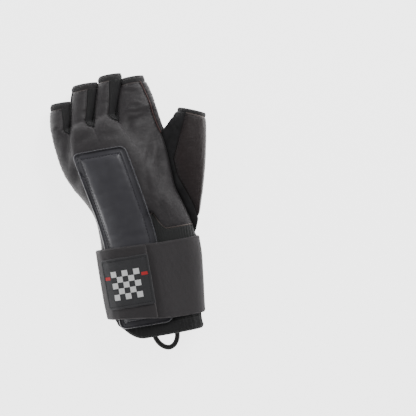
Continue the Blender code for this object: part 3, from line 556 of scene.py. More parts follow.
class Net:
    """Cells of the glove's skin, each with the corner names it joins and the panel it belongs to."""

    def __init__(self):
        self.points, self.maps, self.cells = {}, {}, []

    def add(self, panel, corners, place):
        for name, spot in corners:
            if name not in self.points:
                self.points[name], self.maps[name] = place(*spot)
        self.cells.append((panel, tuple(name for name, _ in corners)))

    def normals(self):
        found = {name: Vector() for name in self.points}
        for _, corners in self.cells:
            a, b, c, d = (self.points[name] for name in corners)
            across = (c - a).cross(d - b)
            for name in corners:
                found[name] += across
        return {name: normal.normalized() for name, normal in found.items()}

    def tree(self):
        index = {name: i for i, name in enumerate(self.points)}
        faces = [[index[name] for name in corners] for _, corners in self.cells]
        return BVHTree.FromPolygons(list(self.points.values()), faces)


SLIT_ROUNDING, SLIT_DEEPENING = 0.8, 0.25


def slit_rise(along, from_slit):
    """How far a row of the back is drawn up towards the web near a slit, so that the slit ends round."""
    reach = WEB_ROW - SLIT_ROW
    below, rounding = 0.0, max(0.0, 2 - from_slit)
    if from_slit < 1:
        below, rounding = 1 - from_slit, 1 - math.sqrt(max(0.0, 1 - from_slit**2))
    near_line = max(0.0, 1 - abs(along - SLIT_ROW) / (reach if along > SLIT_ROW else 2 * reach))
    return (SLIT_ROUNDING * rounding - SLIT_DEEPENING * below) * reach * near_line


# How far apart the fingers, columns and rows lie on the map that the weaves read, in millimetres, and where
# the palm's and the thumb's maps start.
MAP_FINGER, MAP_COLUMN, MAP_ROW = 30.0, 3.4, 7.0
MAP_THUMB_COLUMN, MAP_THUMB_ROW = 0.9, 2.2
MAP_PALM, MAP_THUMB = 200.0, 400.0


def build_net():
    net = Net()
    for finger in range(len(FINGERS)):
        for back in (True, False):
            base, end = columns_of(finger, back, "base"), columns_of(finger, back, "end")
            count = len(base) - 1

            def place(column, row):
                c, r = column / FINE, row / FINE
                i = min(int(r), (WEB if r <= WEB else len(STATIONS) - 1) - 1)
                low = 0.0 if i == WEB else STATIONS[i][1]
                along = lerp(low, STATIONS[i + 1][1], r - i)
                if r <= WEB:
                    if back:
                        left, right = c if finger else math.inf, count - c if finger < 3 else math.inf
                        along += slit_rise(along, min(left, right) / 2)
                    found = body_point(finger, at_fraction(base, c), back, round(along, 6))
                else:
                    degrees = lerp(at_fraction(base, c), at_fraction(end, c), min(1.0, along))
                    found = finger_point(finger, degrees, back, along)
                return found, (finger * MAP_FINGER + c * MAP_COLUMN + (0 if back else MAP_PALM), r * MAP_ROW)

            for row in range((len(STATIONS) - 1) * FINE):
                kind, station = STATIONS[row // FINE]
                if row // FINE >= WEB:
                    kind = STATIONS[row // FINE + 1][0]
                in_hole = finger == 3 and kind == "palm" and HOLE_FOOT <= station < HOLE_TOP
                for column in range(count * FINE):
                    if in_hole and column // FINE >= count - 2:
                        continue
                    spots = [(column, row), (column + 1, row), (column + 1, row + 1), (column, row + 1)]
                    if not back:
                        spots.reverse()
                    panel = panel_of(finger, column // FINE, count, back, kind, station)
                    corners = [(corner_name(finger, c, count * FINE, back, r), (c, r)) for c, r in spots]
                    net.add(panel, corners, place)
    add_thumb(net)
    return net


def thumb_rim():
    """The corner names round the thumb hole, from the crotch down its back edge and up its palm edge."""
    finger, first = len(FINGERS) - 1, len(CUFF_ROWS) - 1
    foot = (first + PALM_ROWS.index(HOLE_FOOT)) * FINE
    top = (first + PALM_ROWS.index(HOLE_TOP)) * FINE

    def name(back, inward, row):
        last = (len(columns_of(finger, back, "base")) - 1) * FINE
        return corner_name(finger, last - inward, last, back, row)

    rim = [name(True, i, top) for i in range(2 * FINE)]
    rim += [name(True, 2 * FINE, row) for row in range(top, foot, -1)]
    rim += [name(True, 2 * FINE - i, foot) for i in range(2 * FINE)]
    rim += [name(False, i, foot) for i in range(2 * FINE)]
    rim += [name(False, 2 * FINE, row) for row in range(foot, top)]
    rim += [name(False, 2 * FINE - i, top) for i in range(2 * FINE)]
    return rim


def add_thumb(net):
    rim = thumb_rim()
    count = len(rim)
    stations = [*THUMB_ROWS, THUMB_HEM_ROW]

    def corner(k, row):
        return (rim[k % count] if row == 0 else ("thumb", k % count, row)), (k % count, row)

    def place(k, row):
        found = thumb_point(net.points[rim[k]], k / count, at_fraction(stations, row / FINE))
        return found, (k * MAP_THUMB_COLUMN + MAP_THUMB, row * MAP_THUMB_ROW)

    for row in range((len(stations) - 1) * FINE):
        station = stations[row // FINE]
        for k in range(count):
            leather = THUMB_LEATHER_FROM <= k / count < THUMB_LEATHER_TO and station >= THUMB_SUEDE_ROW
            panel = "hem_thumb" if station >= 1 else "thumb_leather" if leather else "thumb_suede"
            spots = [(k, row), (k + 1, row), (k + 1, row + 1), (k, row + 1)]
            net.add(panel, [corner(*spot) for spot in spots], place)


hand = build_net()
hand_normals = hand.normals()
hand_tree = hand.tree()
edge_owner = {}
for owner, cell in hand.cells:
    for n, start in enumerate(cell):
        edge_owner[(start, cell[(n + 1) % 4])] = owner


def seam_chains(panel, others=None):
    """The runs of corners where a panel meets others (or anything else), each in the panel's own direction."""
    ahead = {}
    for (start, end), owner in edge_owner.items():
        beyond = edge_owner.get((end, start))
        if owner == panel and beyond != panel and (others is None or beyond in others):
            ahead[start] = end
    chains = []
    starts = [start for start in ahead if start not in set(ahead.values())]
    while ahead:
        at = starts.pop() if starts else next(iter(ahead))
        chain = [at]
        while at in ahead:
            at = ahead.pop(at)
            chain.append(at)
        chains.append(chain)
    return chains


def tree_of(places):
    found = KDTree(max(1, len(places)))
    for i, place in enumerate(places):
        found.insert(place, i)
    found.balance()
    return found


def far_from(tree, place):
    nearest = tree.find(place)
    return nearest[2] if nearest[0] is not None else math.inf


SEAM_GAP = 0.01
MITRE_LIMIT = 0.9
SEAM_FLATTENING = 0.7
SEAM_SHADE = 2.5
RAW_EDGE = 0.75


def sewn_panel(panel, wall, material, relief, name, raised=0.0, raw_edges=(), edge_drop=0.7, edge_width=1.5):
    """A panel with its wall inwards. relief(place, normal, rim) lifts its skin and gives its painted light, and
    its edges turn down.
    """
    cells = [corners for owner, corners in hand.cells if owner == panel]
    pull = {}
    for chain in seam_chains(panel):
        for start, end in zip(chain, chain[1:]):
            run = (hand.points[end] - hand.points[start]).normalized()
            for corner in (start, end):
                pull[corner] = pull.get(corner, Vector()) + hand_normals[corner].cross(run).normalized()
    rim_tree = tree_of([hand.points[corner] for corner in pull])
    raw = [(strength, tree_of([hand.points[c] for chain in seam_chains(panel, others) for c in chain]))
           for strength, others in raw_edges]
    names = list(dict.fromkeys(corner for corners in cells for corner in corners))
    index = {corner: i for i, corner in enumerate(names)}
    outer, inner, ridge_light_and_shade, rawness, shade = [], [], [], [], []
    for corner in names:
        place, normal = hand.points[corner], hand_normals[corner]
        drawn = pull.get(corner, Vector())
        if drawn.length > 1e-6:
            drawn = drawn * 2 * SEAM_GAP / max(drawn.length_squared, MITRE_LIMIT)
        rim = far_from(rim_tree, place)
        lift, tone = relief(place, normal, rim)
        edge = math.exp(-((rim / edge_width) ** 2))
        lift = raised * (1 - edge) + lift * (1 - SEAM_FLATTENING * edge) - edge_drop * edge
        outer.append(place + drawn + normal * lift)
        inner.append(place + drawn - normal * wall)
        # The relief's tone is painted light: lighter on fold and rib crests, darker in creases.
        ridge_light_and_shade.append(tone)
        # Painted shade beside the seams, for the material to darken the hide.
        shade.append(math.exp(-rim / SEAM_SHADE))
        rawness.append(max([strength * math.exp(-((far_from(tree, place) / RAW_EDGE) ** 2))
                            for strength, tree in raw], default=0.0))
    count = len(names)
    faces = [[index[c] for c in corners] for corners in cells]
    faces += [[index[c] + count for c in reversed(corners)] for corners in cells]
    for chain in seam_chains(panel):
        for a, b in zip(chain, chain[1:]):
            faces.append([index[b], index[a], index[a] + count, index[b] + count])
    uvs = [hand.maps[corner] for corner in names] * 2
    tones = {"ridge_light_and_shade": ridge_light_and_shade * 2, "raw": rawness + [0.0] * count, "seam": shade * 2}
    return new_piece(name, outer + inner, faces, material, [panel], uvs=uvs, tones=tones)


# The leather panels.
# Smooth charcoal hide, 1.6 mm thick, softened by wear: it creases across the knuckles, down the index side
# and round the thumb's root. Its edges are turned under and topstitched, but the cut edge of the tab is raw.
LEATHER_WALL = 1.6
HIDE_DARK, HIDE_LIGHT = (0.032, 0.029, 0.031), (0.058, 0.053, 0.056)
THUMB_DARK, THUMB_LIGHT = (0.013, 0.0075, 0.008), (0.028, 0.018, 0.0185)
RAW_EDGE_COLOUR = (0.30, 0.25, 0.235)

# The long creases: their middle, shares of KNUCKLE_WIDTH and PALM_LENGTH from the axis and the wrist edge,
# the way they run in degrees, and their length, width and depth, shares of KNUCKLE_WIDTH.
CREASE_WAVER, CREASE_SHOULDER = 1.5, 0.35
CREASES = rows(
    "face      across  along  turn  length width  depth",
    ("back", 0.230, 1.120, -12, 0.13, 0.030, 0.010),
    ("back", 0.215, 1.040, -8, 0.15, 0.035, 0.009),
    ("back", 0.205, 0.950, 12, 0.20, 0.030, 0.008),
    ("back", 0.190, 1.160, -9, 0.17, 0.017, 0.008),
    ("back", 0.235, 1.085, -16, 0.14, 0.015, 0.007),
    ("back", 0.195, 1.000, -4, 0.15, 0.017, 0.007),
    ("back", -0.250, 1.000, -8, 0.13, 0.017, 0.006),
    ("back", -0.240, 0.965, 6, 0.15, 0.017, 0.006),
    ("back", 0.130, 0.930, 62, 0.16, 0.030, 0.010),
    ("back", 0.330, 0.560, 78, 0.40, 0.040, 0.012),
    ("back", 0.270, 0.700, 70, 0.34, 0.026, 0.009),
    ("back", 0.360, 0.780, 84, 0.22, 0.024, 0.010),
    ("back", 0.200, 0.480, 80, 0.30, 0.030, 0.007),
    ("back", 0.300, 0.300, 72, 0.22, 0.026, 0.007),
    ("back", -0.420, 0.620, 62, 0.34, 0.050, 0.012),
    ("back", -0.480, 0.800, 78, 0.26, 0.030, 0.008),
    ("back", -0.300, 0.880, 20, 0.24, 0.030, 0.007),
    ("back", -0.050, 0.870, -6, 0.26, 0.028, 0.006),
    ("back", -0.560, 0.960, 30, 0.12, 0.022, 0.008),
    ("back", -0.250, 1.060, 8, 0.14, 0.024, 0.007),
    ("back", -0.020, 1.100, -4, 0.14, 0.024, 0.007),
    ("palm", -0.200, 0.840, 8, 0.50, 0.040, 0.012),
    ("palm", 0.180, 0.780, -14, 0.36, 0.040, 0.014),
    ("palm", 0.340, 0.500, 50, 0.30, 0.050, 0.014),
    ("palm", -0.420, 0.560, 66, 0.30, 0.045, 0.010),
    ("palm", 0.020, 1.020, 4, 0.20, 0.026, 0.010),
    ("palm", 0.240, 1.000, -4, 0.22, 0.026, 0.010),
    ("palm", -0.250, 0.990, 6, 0.20, 0.026, 0.010),
    ("palm", -0.520, 0.940, 12, 0.16, 0.026, 0.010),
)


def crease_depth(place, normal):
    """How deep the long creases press here, in millimetres."""
    deep = 0.0
    if abs(normal.z) < 0.15:
        return deep
    face = "back" if normal.z > 0 else "palm"
    for row in CREASES:
        if row["face"] != face:
            continue
        turn = math.radians(row["turn"])
        x = place.x - row["across"] * KNUCKLE_WIDTH
        y = place.y + WRIST_TO_SKID - row["along"] * PALM_LENGTH
        run, off = x * math.cos(turn) + y * math.sin(turn), y * math.cos(turn) - x * math.sin(turn)
        half, wide = row["length"] * KNUCKLE_WIDTH / 2, row["width"] * KNUCKLE_WIDTH
        off += CREASE_WAVER * noise.noise(place * 0.09)
        fade = math.exp(-((run / half) ** 2) * 1.5)
        valley = math.exp(-((off / wide) ** 2))
        shoulder = math.exp(-(((abs(off) - 1.9 * wide) / wide) ** 2))
        deep += fade * (valley - CREASE_SHOULDER * shoulder) * row["depth"] * KNUCKLE_WIDTH
    return deep


def soft_folds(place, size, stretch, seed):
    """Rounded folds with sharp valleys between them: 0 in a valley, 1 on a fold."""
    at = Vector((place.x, place.y * stretch, place.z)) / size + Vector((seed, 0, 0))
    warp = noise.noise_vector(at * 0.6) * 0.7
    return abs(noise.noise(at + warp)) ** 0.6


def hide_relief(place, normal, rim):
    """The hide's lift: long creases, soft folds between them and a fine pucker beside the seams; and its painted
    light, lighter on the folds and darker in the long creases.
    """
    deep = crease_depth(place, normal)
    broad = soft_folds(place, size=22.0, stretch=0.55, seed=3.0)
    fine = soft_folds(place, size=5.5, stretch=2.6, seed=11.0)
    flexed = 0.35 + 0.65 * ramp(place.x, -10, 35)
    pucker = math.exp(-((rim - 2.2) / 1.1) ** 2) * 0.16 * math.sin(place.x * 1.1 + place.y * 1.3)
    puff = 0.5 * (1 - math.exp(-rim / 5.0))
    lift = puff + 0.3 * (broad - 0.4) + 0.40 * flexed * (fine - 0.4) + pucker - deep
    return lift, min(1.0, max(0.0, 0.2 * broad + 0.4 * fine - 0.25 * deep + 0.2))


# Grain of a hide or a coated cloth: small cells with pores between them, a fine unevenness and, on the
# leather, wrinkles that run across the hand.
WRINKLE_TURN = math.radians(-9)
grain_group, grain_in, grain_out = new_group(
    "Hide grain", {"Cell": 1.0, "Pores": 0.5, "Wrinkle": 0.0}, ("Height", "Tone"))
grain_maths = functools.partial(maths, grain_group)
grain_place = grain_group.nodes.new("ShaderNodeTexCoord").outputs["Object"]
grain_cells = grain_group.nodes.new("ShaderNodeTexVoronoi")
grain_cells.feature = "DISTANCE_TO_EDGE"
grain_group.links.new(grain_place, grain_cells.inputs["Vector"])
grain_group.links.new(grain_maths("DIVIDE", 1 / MM, grain_in["Cell"]), grain_cells.inputs["Scale"])
wrinkle_map = grain_group.nodes.new("ShaderNodeMapping")
wrinkle_map.inputs["Rotation"].default_value = (0, 0, WRINKLE_TURN)
wrinkle_map.inputs["Scale"].default_value = (0.22, 1.0, 0.6)
grain_group.links.new(grain_place, wrinkle_map.inputs["Vector"])
wrinkles = cloud(grain_group, wrinkle_map.outputs["Vector"], scale=520.0, detail=4.0, distortion=0.6)
unevenness = cloud(grain_group, grain_place, scale=120.0, detail=6.0)
grain_cell = grain_maths("MINIMUM", grain_maths("MULTIPLY", grain_cells.outputs["Distance"], 3.0), 1.0)
grain_height = grain_maths("ADD", grain_maths("MULTIPLY", grain_cell, grain_in["Pores"]),
                           grain_maths("MULTIPLY", wrinkles, grain_in["Wrinkle"]))
grain_group.links.new(grain_maths("ADD", grain_height, unevenness), grain_out["Height"])
grain_group.links.new(unevenness, grain_out["Tone"])


def attribute(tree, name):
    node = tree.nodes.new("ShaderNodeAttribute")
    node.attribute_name = name
    return node.outputs["Fac"]


def painted_ridges_and_patches(tree, grain, ridge_share, middle, tone_share):
    """Where the hide is light: painted light from its folds, lighter on their crests and darker in creases, and
    lighter patches of its own.
    """
    patches = maths(tree, "MULTIPLY", maths(tree, "SUBTRACT", grain["Tone"], middle), tone_share)
    ridge_light = maths(tree, "MULTIPLY", attribute(tree, "ridge_light_and_shade"), ridge_share)
    return maths(tree, "ADD", ridge_light, patches, clamp=True)


def hide_material(name, dark, light):
    """Charcoal hide: painted highlight on its folds, painted shade in its creases and beside the seams, and pale
    at a raw cut edge.
    """
    made, tree, shader = new_material(name, dark, 0.46)
    grain = put_group(tree, grain_group, Cell=0.9, Pores=0.4, Wrinkle=1.6)
    # Painted highlight on the folds and painted shade in the creases, with the hide's own lighter patches.
    fold_light_and_patches = painted_ridges_and_patches(tree, grain, ridge_share=0.7, middle=0.5, tone_share=0.8)
    # Painted shade beside the seams, where the panel's edges turn down.
    shaded = maths(tree, "SUBTRACT", fold_light_and_patches, maths(tree, "MULTIPLY", attribute(tree, "seam"), 0.45), clamp=True)
    hide = blend_colours(tree, shaded, dark, light)
    colour = blend_colours(tree, attribute(tree, "raw"), hide, RAW_EDGE_COLOUR)
    tree.links.new(colour, shader.inputs["Base Color"])
    gloss = maths(tree, "SUBTRACT", 0.58, maths(tree, "MULTIPLY", fold_light_and_patches, 0.14))
    tree.links.new(gloss, shader.inputs["Roughness"])
    shader.inputs["Specular IOR Level"].default_value = 0.42
    bump_from(tree, grain["Height"], 0.16, 0.9)
    return made


hide = hide_material("charcoal_hide", HIDE_DARK, HIDE_LIGHT)
FINGER_HEMS = ["hem_" + row["name"] for row in FINGERS]
back_leather_panel = sewn_panel("back_leather", LEATHER_WALL, hide, hide_relief, "back_leather_panel",
                                raw_edges=[(1.0, ["wrist_elastic"]), (0.45, FINGER_HEMS)])
palm_leather_panel = sewn_panel("palm_leather", LEATHER_WALL, hide, hide_relief, "palm_leather_panel",
                                raised=0.6)
thumb_hide = hide_material("brown_black_hide", THUMB_DARK, THUMB_LIGHT)
thumb_leather_panel = sewn_panel("thumb_leather", LEATHER_WALL, thumb_hide, hide_relief, "thumb_leather_panel",
                                 raw_edges=[(0.5, ["hem_thumb"])])

# The suede panels.
# Black split hide with a short nap covers the palm and the inside of the thumb, where the glove folds most.
# The nap is brushed lighter or darker in patches, and a painted highlight lies on its folds.
SUEDE_WALL = 1.6
SUEDE_DARK, SUEDE_LIGHT = (0.012, 0.0118, 0.0125), (0.032, 0.031, 0.033)


def suede_relief(place, normal, rim):
    deep = crease_depth(place, normal)
    broad = soft_folds(place, size=13.0, stretch=0.7, seed=7.0)
    fine = soft_folds(place, size=3.0, stretch=1.0, seed=17.0)
    puff = 0.4 * (1 - math.exp(-rim / 5.0))
    # Its tone is painted light: lighter on the crests of its folds.
    return puff + 0.9 * (broad - 0.4) + 0.12 * fine - deep, min(1.0, max(0.0, 0.6 * broad + 0.3 * fine))


def nap_material(name, dark, light):
    """Suede: its nap lies light or dark in patches, with a painted highlight on its folds."""
    made, tree, shader = new_material(name, dark, 0.95)
    grain = put_group(tree, grain_group, Cell=0.45, Pores=0.25)
    nap_patches_and_fold_light = painted_ridges_and_patches(tree, grain, ridge_share=0.5, middle=0.45, tone_share=1.6)
    tree.links.new(blend_colours(tree, nap_patches_and_fold_light, dark, light), shader.inputs["Base Color"])
    shader.inputs["Sheen Weight"].default_value = 0.10
    shader.inputs["Sheen Roughness"].default_value = 0.5
    shader.inputs["Specular IOR Level"].default_value = 0.25
    bump_from(tree, grain["Height"], 0.16)
    return made


suede = nap_material("black_suede", SUEDE_DARK, SUEDE_LIGHT)
sewn_panel("palm_suede", SUEDE_WALL, suede, suede_relief, "palm_suede_panel")
sewn_panel("thumb_suede", SUEDE_WALL, suede, suede_relief, "thumb_suede_panel")

# The knit gussets, hems and cuff, and the elastic at the wrist.
# Stretch knit joins the fingers and binds the sleeves' ends, padded knit makes the cuff, and a ribbed elastic
# panel shows below the leather tab.
FOURCHETTE_WALL, HEM_WALL, CUFF_WALL, ELASTIC_WALL = 1.2, 1.5, 2.4, 1.4
CUFF_RIB, ELASTIC_RIB = 3.2, 2.4
KNIT_DARK, KNIT_LIGHT = (0.008, 0.008, 0.0085), (0.024, 0.024, 0.025)
BINDING_DARK, BINDING_LIGHT = (0.014, 0.014, 0.0145), (0.050, 0.048, 0.050)
ELASTIC_DARK, ELASTIC_LIGHT = (0.008, 0.009, 0.009), (0.036, 0.037, 0.037)


def knit_relief(place, normal, rim):
    broad = soft_folds(place, size=8.0, stretch=0.8, seed=23.0)
    return 0.5 * (broad - 0.5), broad


def hem_relief(place, normal, rim):
    """A bound edge is a soft roll that its stitches pull in along the sleeve."""
    roll = 1.0 - math.exp(-((rim / 1.6) ** 2))
    pulled = 0.10 * math.sin((place.x * 0.9 + place.z * 0.7) * 2.1)
    return 0.25 * roll + pulled + 0.5 * (soft_folds(place, size=7.0, stretch=1.0, seed=41.0) - 0.4), roll


def cuff_relief(place, normal, rim):
    """Ribs along the cuff, and a roll round its open end."""
    rib = math.sin((place.x * abs(normal.z) + place.z * (1 - abs(normal.z))) * 2 * math.pi / CUFF_RIB)
    roll = 0.8 * math.exp(-(((rim - 2.5) / 2.0) ** 2))
    folds = 0.5 * (soft_folds(place, size=14.0, stretch=1.0, seed=31.0) - 0.5)
    return 0.14 * rib + roll + folds, 0.5 + 0.4 * rib


def elastic_relief(place, normal, rim):
    rib = math.sin(place.x * 2 * math.pi / ELASTIC_RIB)
    return 0.22 * rib - 0.4, 0.5 + 0.5 * rib


knit = woven_material("black_knit", KNIT_DARK, KNIT_LIGHT, roughness=0.9, rib=0.9, cross=0.9,
                      depth=0.12, sheen=0.05)
binding = woven_material("black_binding", BINDING_DARK, BINDING_LIGHT, roughness=0.85, rib=0.6, cross=0.9,
                         depth=0.10, sheen=0.05)
elastic = woven_material("ribbed_elastic", ELASTIC_DARK, ELASTIC_LIGHT, roughness=0.8, rib=0.8, cross=0.5,
                         depth=0.10)
for first, second in zip(FINGERS, FINGERS[1:]):
    gusset = f"fourchette_{first['name']}_{second['name']}"
    sewn_panel(gusset, FOURCHETTE_WALL, knit, knit_relief, gusset + "_knit", edge_drop=0.2)
for sleeve in [row["name"] for row in FINGERS] + ["thumb"]:
    sewn_panel("hem_" + sleeve, HEM_WALL, binding, hem_relief, "hem_" + sleeve + "_binding", edge_drop=0.5)
sewn_panel("wrist_cuff", CUFF_WALL, knit, cuff_relief, "wrist_cuff_knit")
sewn_panel("wrist_elastic", ELASTIC_WALL, elastic, elastic_relief, "wrist_elastic_ribs", edge_drop=0.2)

# The padded splint on the back of the hand.
# A foam-covered splint in a soft blue-grey coated cloth, about 5 mm thick. A rolled border and a stitched
# channel run round a raised middle.
REST_GAP = 0.4
CLEAR_OF_HAND = 200.0
BACK_PAD_SIZE = (50.0, 167.0, 4.7)
BACK_PAD_TOP = 61.0
BACK_PAD_CORNER = 6.0
# Profile: inset from the edge, shares of the width, and height, shares of the thickness. Line: the pad's
# middle, along in shares of its length and across in shares of its width.
BACK_PAD_PROFILE = ((0.0, 0.25), (0.008, 0.56), (0.022, 0.70), (0.036, 0.52), (0.046, 0.36), (0.060, 0.34),
                    (0.100, 0.34), (0.118, 0.42), (0.140, 0.74), (0.175, 0.95), (0.24, 1.0), (0.5, 1.02))
BACK_PAD_LINE = ((0.00, -0.385), (0.17, -0.280), (0.41, -0.150), (0.55, -0.105), (1.00, -0.070))


def drape(tree, back):
    """A function that lays a point at a height over the hand, seen from above, or under it, seen from below."""
    way = Vector((0, 0, -1 if back else 1))

    def lay(x, y, height):
        return tree.ray_cast(Vector((x, y, 0)) - way * CLEAR_OF_HAND, way)[0] - way * height

    return lay


def rounded_corner(u, v, width, length, corner):
    """Where a grid point of a pad lies once its corners are rounded, and how far it is from the edge."""
    near_u, near_v = min(u, width - u), min(v, length - v)
    if near_u >= corner or near_v >= corner:
        return u, v, min(near_u, near_v)
    from_u, from_v = corner - near_u, corner - near_v
    reach = max(from_u, from_v)
    scale = reach / max(1e-6, math.hypot(from_u, from_v))
    shift_u, shift_v = from_u * (1 - scale), from_v * (1 - scale)
    u += shift_u if u < width / 2 else -shift_u
    v += shift_v if v < length / 2 else -shift_v
    return u, v, corner - reach


PAD_STEP = 1.6
BORDER_LINES, MIDDLE_LINES, BORDER_CROWDING = 14, 24, 1.15
THINNEST = 0.3


def grid_cells(columns, lines):
    return [((i, j), (i, j + 1), (i + 1, j + 1), (i + 1, j)) for i in range(columns) for j in range(lines)]


def pad_grid(profile, size, corner, place, texture):
    """A pad's two skins, map and cells. The top follows the profile, and texture() adds to it."""
    width, length, thickness = size
    border = max(inset for inset, _ in profile[:-3]) * width
    close = [border * (i / BORDER_LINES) ** BORDER_CROWDING for i in range(BORDER_LINES + 1)]
    across, along = (
        close + [lerp(border, side - border, i / steps) for i in range(1, steps)]
        + [side - u for u in close[::-1]]
        for side, steps in ((width, MIDDLE_LINES), (length, round((length - 2 * border) / PAD_STEP))))
    insets, heights = zip(*profile)
    top, under, uvs = {}, {}, {}
    for i, u in enumerate(across):
        for j, v in enumerate(along):
            at_u, at_v, inset = rounded_corner(u, v, width, length, corner)
            share = curve_through(insets, heights, min(inset / width, insets[-1]))
            height = thickness * share + texture(at_u - width / 2, at_v, inset)
            top[i, j] = place(at_u - width / 2, at_v, REST_GAP + max(height, THINNEST))
            under[i, j] = place(at_u - width / 2, at_v, REST_GAP)
            uvs[i, j] = (at_u, at_v)
    return top, under, uvs, grid_cells(len(across) - 1, len(along) - 1)


def solid_between(top, under, uvs, cells, facing):
    """Points, faces and uvs of a solid between two skins over the same cells, closed along every free edge."""
    if facing < 0:
        cells = [tuple(reversed(cell)) for cell in cells]
    names = list(dict.fromkeys(corner for cell in cells for corner in cell))
    index = {corner: i for i, corner in enumerate(names)}
    count = len(names)
    used = {(cell[n], cell[(n + 1) % 4]) for cell in cells for n in range(4)}
    faces = [[index[c] for c in cell] for cell in cells]
    faces += [[index[c] + count for c in reversed(cell)] for cell in cells]
    faces += [[index[b], index[a], index[a] + count, index[b] + count] for a, b in used if (b, a) not in used]
    return [top[n] for n in names] + [under[n] for n in names], faces, [uvs[n] for n in names] * 2


COVER_SWELL = 0.75
CHANNEL_END = 6.2
CLOTH_SCALE = 0.01
CLOTH_FRAMES = 22


def spot_on_pad(u, v):
    """A grid point's place as a key, to the hundredth of a millimetre."""
    return round(u, 2), round(v, 2)


def inflated_cover(profile, size, corner):
    """The swell of a pad's cover, from a cloth that air pressure lifts between its sewn channels."""
    top, _, _, cells = pad_grid(profile, size, corner, lambda u, v, height: Vector((u, v, height)),
                                lambda u, v, inset: 0.0)
    index = {name: i for i, name in enumerate(top)}
    mesh = bpy.data.meshes.new("cover_cloth")
    mesh.from_pydata([place * CLOTH_SCALE for place in top.values()], [],
                     [[index[c] for c in reversed(cell)] for cell in cells])
    sheet = bpy.data.objects.new("cover_cloth", mesh)
    bpy.context.scene.collection.objects.link(sheet)
    sewn = sheet.vertex_groups.new(name="sewn")
    for name, i in index.items():
        u, v = top[name].x, top[name].y
        if min(size[0] / 2 - abs(u), v, size[1] - v) < CHANNEL_END:
            sewn.add([i], 1.0, "REPLACE")
    cloth = sheet.modifiers.new("cover", "CLOTH").settings
    cloth.quality, cloth.mass = 6, 0.3
    cloth.tension_stiffness = cloth.compression_stiffness = 14.0
    cloth.shear_stiffness, cloth.bending_stiffness = 5.0, 0.4
    cloth.vertex_group_mass = "sewn"
    cloth.shrink_min = -0.04
    cloth.use_pressure, cloth.uniform_pressure_force = True, 4.0
    cloth.effector_weights.gravity = 0.0
    for frame_number in range(1, CLOTH_FRAMES + 1):
        bpy.context.scene.frame_set(frame_number)
    settled = bpy.data.meshes.new_from_object(sheet.evaluated_get(bpy.context.evaluated_depsgraph_get()))
    raised = {name: settled.vertices[i].co.z / CLOTH_SCALE - top[name].z for name, i in index.items()}
    bpy.context.scene.frame_set(1)
    bpy.data.objects.remove(sheet)
    most = max(raised.values())
    return {spot_on_pad(top[name].x, top[name].y): COVER_SWELL * rise / most for name, rise in raised.items()}


def pad_texture(cover_rise):
    """The cloth's swell with the soft unevenness of the foam, and a pucker where the channel is sewn."""
    def texture(u, v, inset):
        spot = Vector((u, v, 0))
        uneven = 0.20 * noise.noise(spot / 16) + 0.08 * noise.noise(spot / 4.5)
        pucker = 0.13 * math.sin((u + v) * 2 * math.pi / 3.4) * math.exp(-(((inset - 5.6) / 1.5) ** 2))
        return cover_rise.get(spot_on_pad(u, v), 0.0) + uneven * ramp(inset, 0, 6) + pucker

    return texture


def laid_along(lay, line, across, length, top):
    """A function that lays a pad's own point on the hand: its middle follows the line, shares of across."""
    stations, shifts = zip(*line)

    def place(u, v, height):
        return lay(curve_through(stations, shifts, v / length) * across + u, top - v, height)

    return place


def cover_material(name, dark, light):
    """A coated cloth with a soft sheen and the finest leathery grain."""
    made, tree, shader = new_material(name, dark, 0.42)
    grain = put_group(tree, grain_group, Cell=0.7, Pores=0.35)
    tree.links.new(blend_colours(tree, grain["Tone"], dark, light), shader.inputs["Base Color"])
    gloss = maths(tree, "ADD", 0.34, maths(tree, "MULTIPLY", grain["Tone"], 0.16))
    tree.links.new(gloss, shader.inputs["Roughness"])
    bump_from(tree, grain["Height"], 0.05, 0.6)
    return made


cover = cover_material("coated_cover", (0.042, 0.041, 0.048), (0.068, 0.067, 0.077))


def padded_cover(name, profile, size, corner, place, facing, node):
    """The whole cover of a pad, closed on the side that lies on the hand."""
    texture = pad_texture(inflated_cover(profile, size, corner))
    points, faces, uvs = solid_between(*pad_grid(profile, size, corner, place, texture), facing)
    return new_piece(name, points, faces, cover, [node], uvs=uvs)


along_back = laid_along(drape(hand_tree, True), BACK_PAD_LINE, BACK_PAD_SIZE[0], BACK_PAD_SIZE[1], BACK_PAD_TOP)
back_pad_cover = padded_cover("back_pad_cover", BACK_PAD_PROFILE, BACK_PAD_SIZE, BACK_PAD_CORNER, along_back,
                              facing=1, node="back_splint_pad")

# The welt on the index side.
# A reddish-brown leather piping, 1.2 mm thick, is caught in the seam between the back and the palm leather.
# It stands out of the seam by less than its half.
WELT = 1.2
WELT_SIDES = 8
WELT_SUNK = 0.2
WELT_BROWN = (0.065, 0.028, 0.026)

welt_chain = max(seam_chains("back_leather", ["palm_leather"]),
                 key=lambda chain: sum(hand.points[c].x for c in chain) / len(chain))
welt_line = [hand.points[c] - hand_normals[c] * WELT_SUNK for c in welt_chain]
points, faces, uvs = sweep(welt_line, WELT_SIDES, lambda run, angle: WELT / 2)
piping = new_material("brown_piping", WELT_BROWN, 0.55)[0]
new_piece("index_seam_welt", points, faces, piping, uvs=uvs)

# The splint pocket and the skid plate in the palm.
# A pocket of the same coated cloth holds the palm splint. Its window shows the splint's polished black skid
# plate, which bulges through it and takes the knocks.
POCKET_SIZE = (54.0, 165.0, 4.2)
POCKET_TOP = 57.0
POCKET_CORNER = 6.0
POCKET_PROFILE = ((0.0, 0.45), (0.012, 0.66), (0.034, 0.76), (0.058, 0.66), (0.078, 0.44), (0.090, 0.42),
                  (0.105, 0.52), (0.15, 0.92), (0.20, 1.0), (0.28, 1.0), (0.5, 1.0))
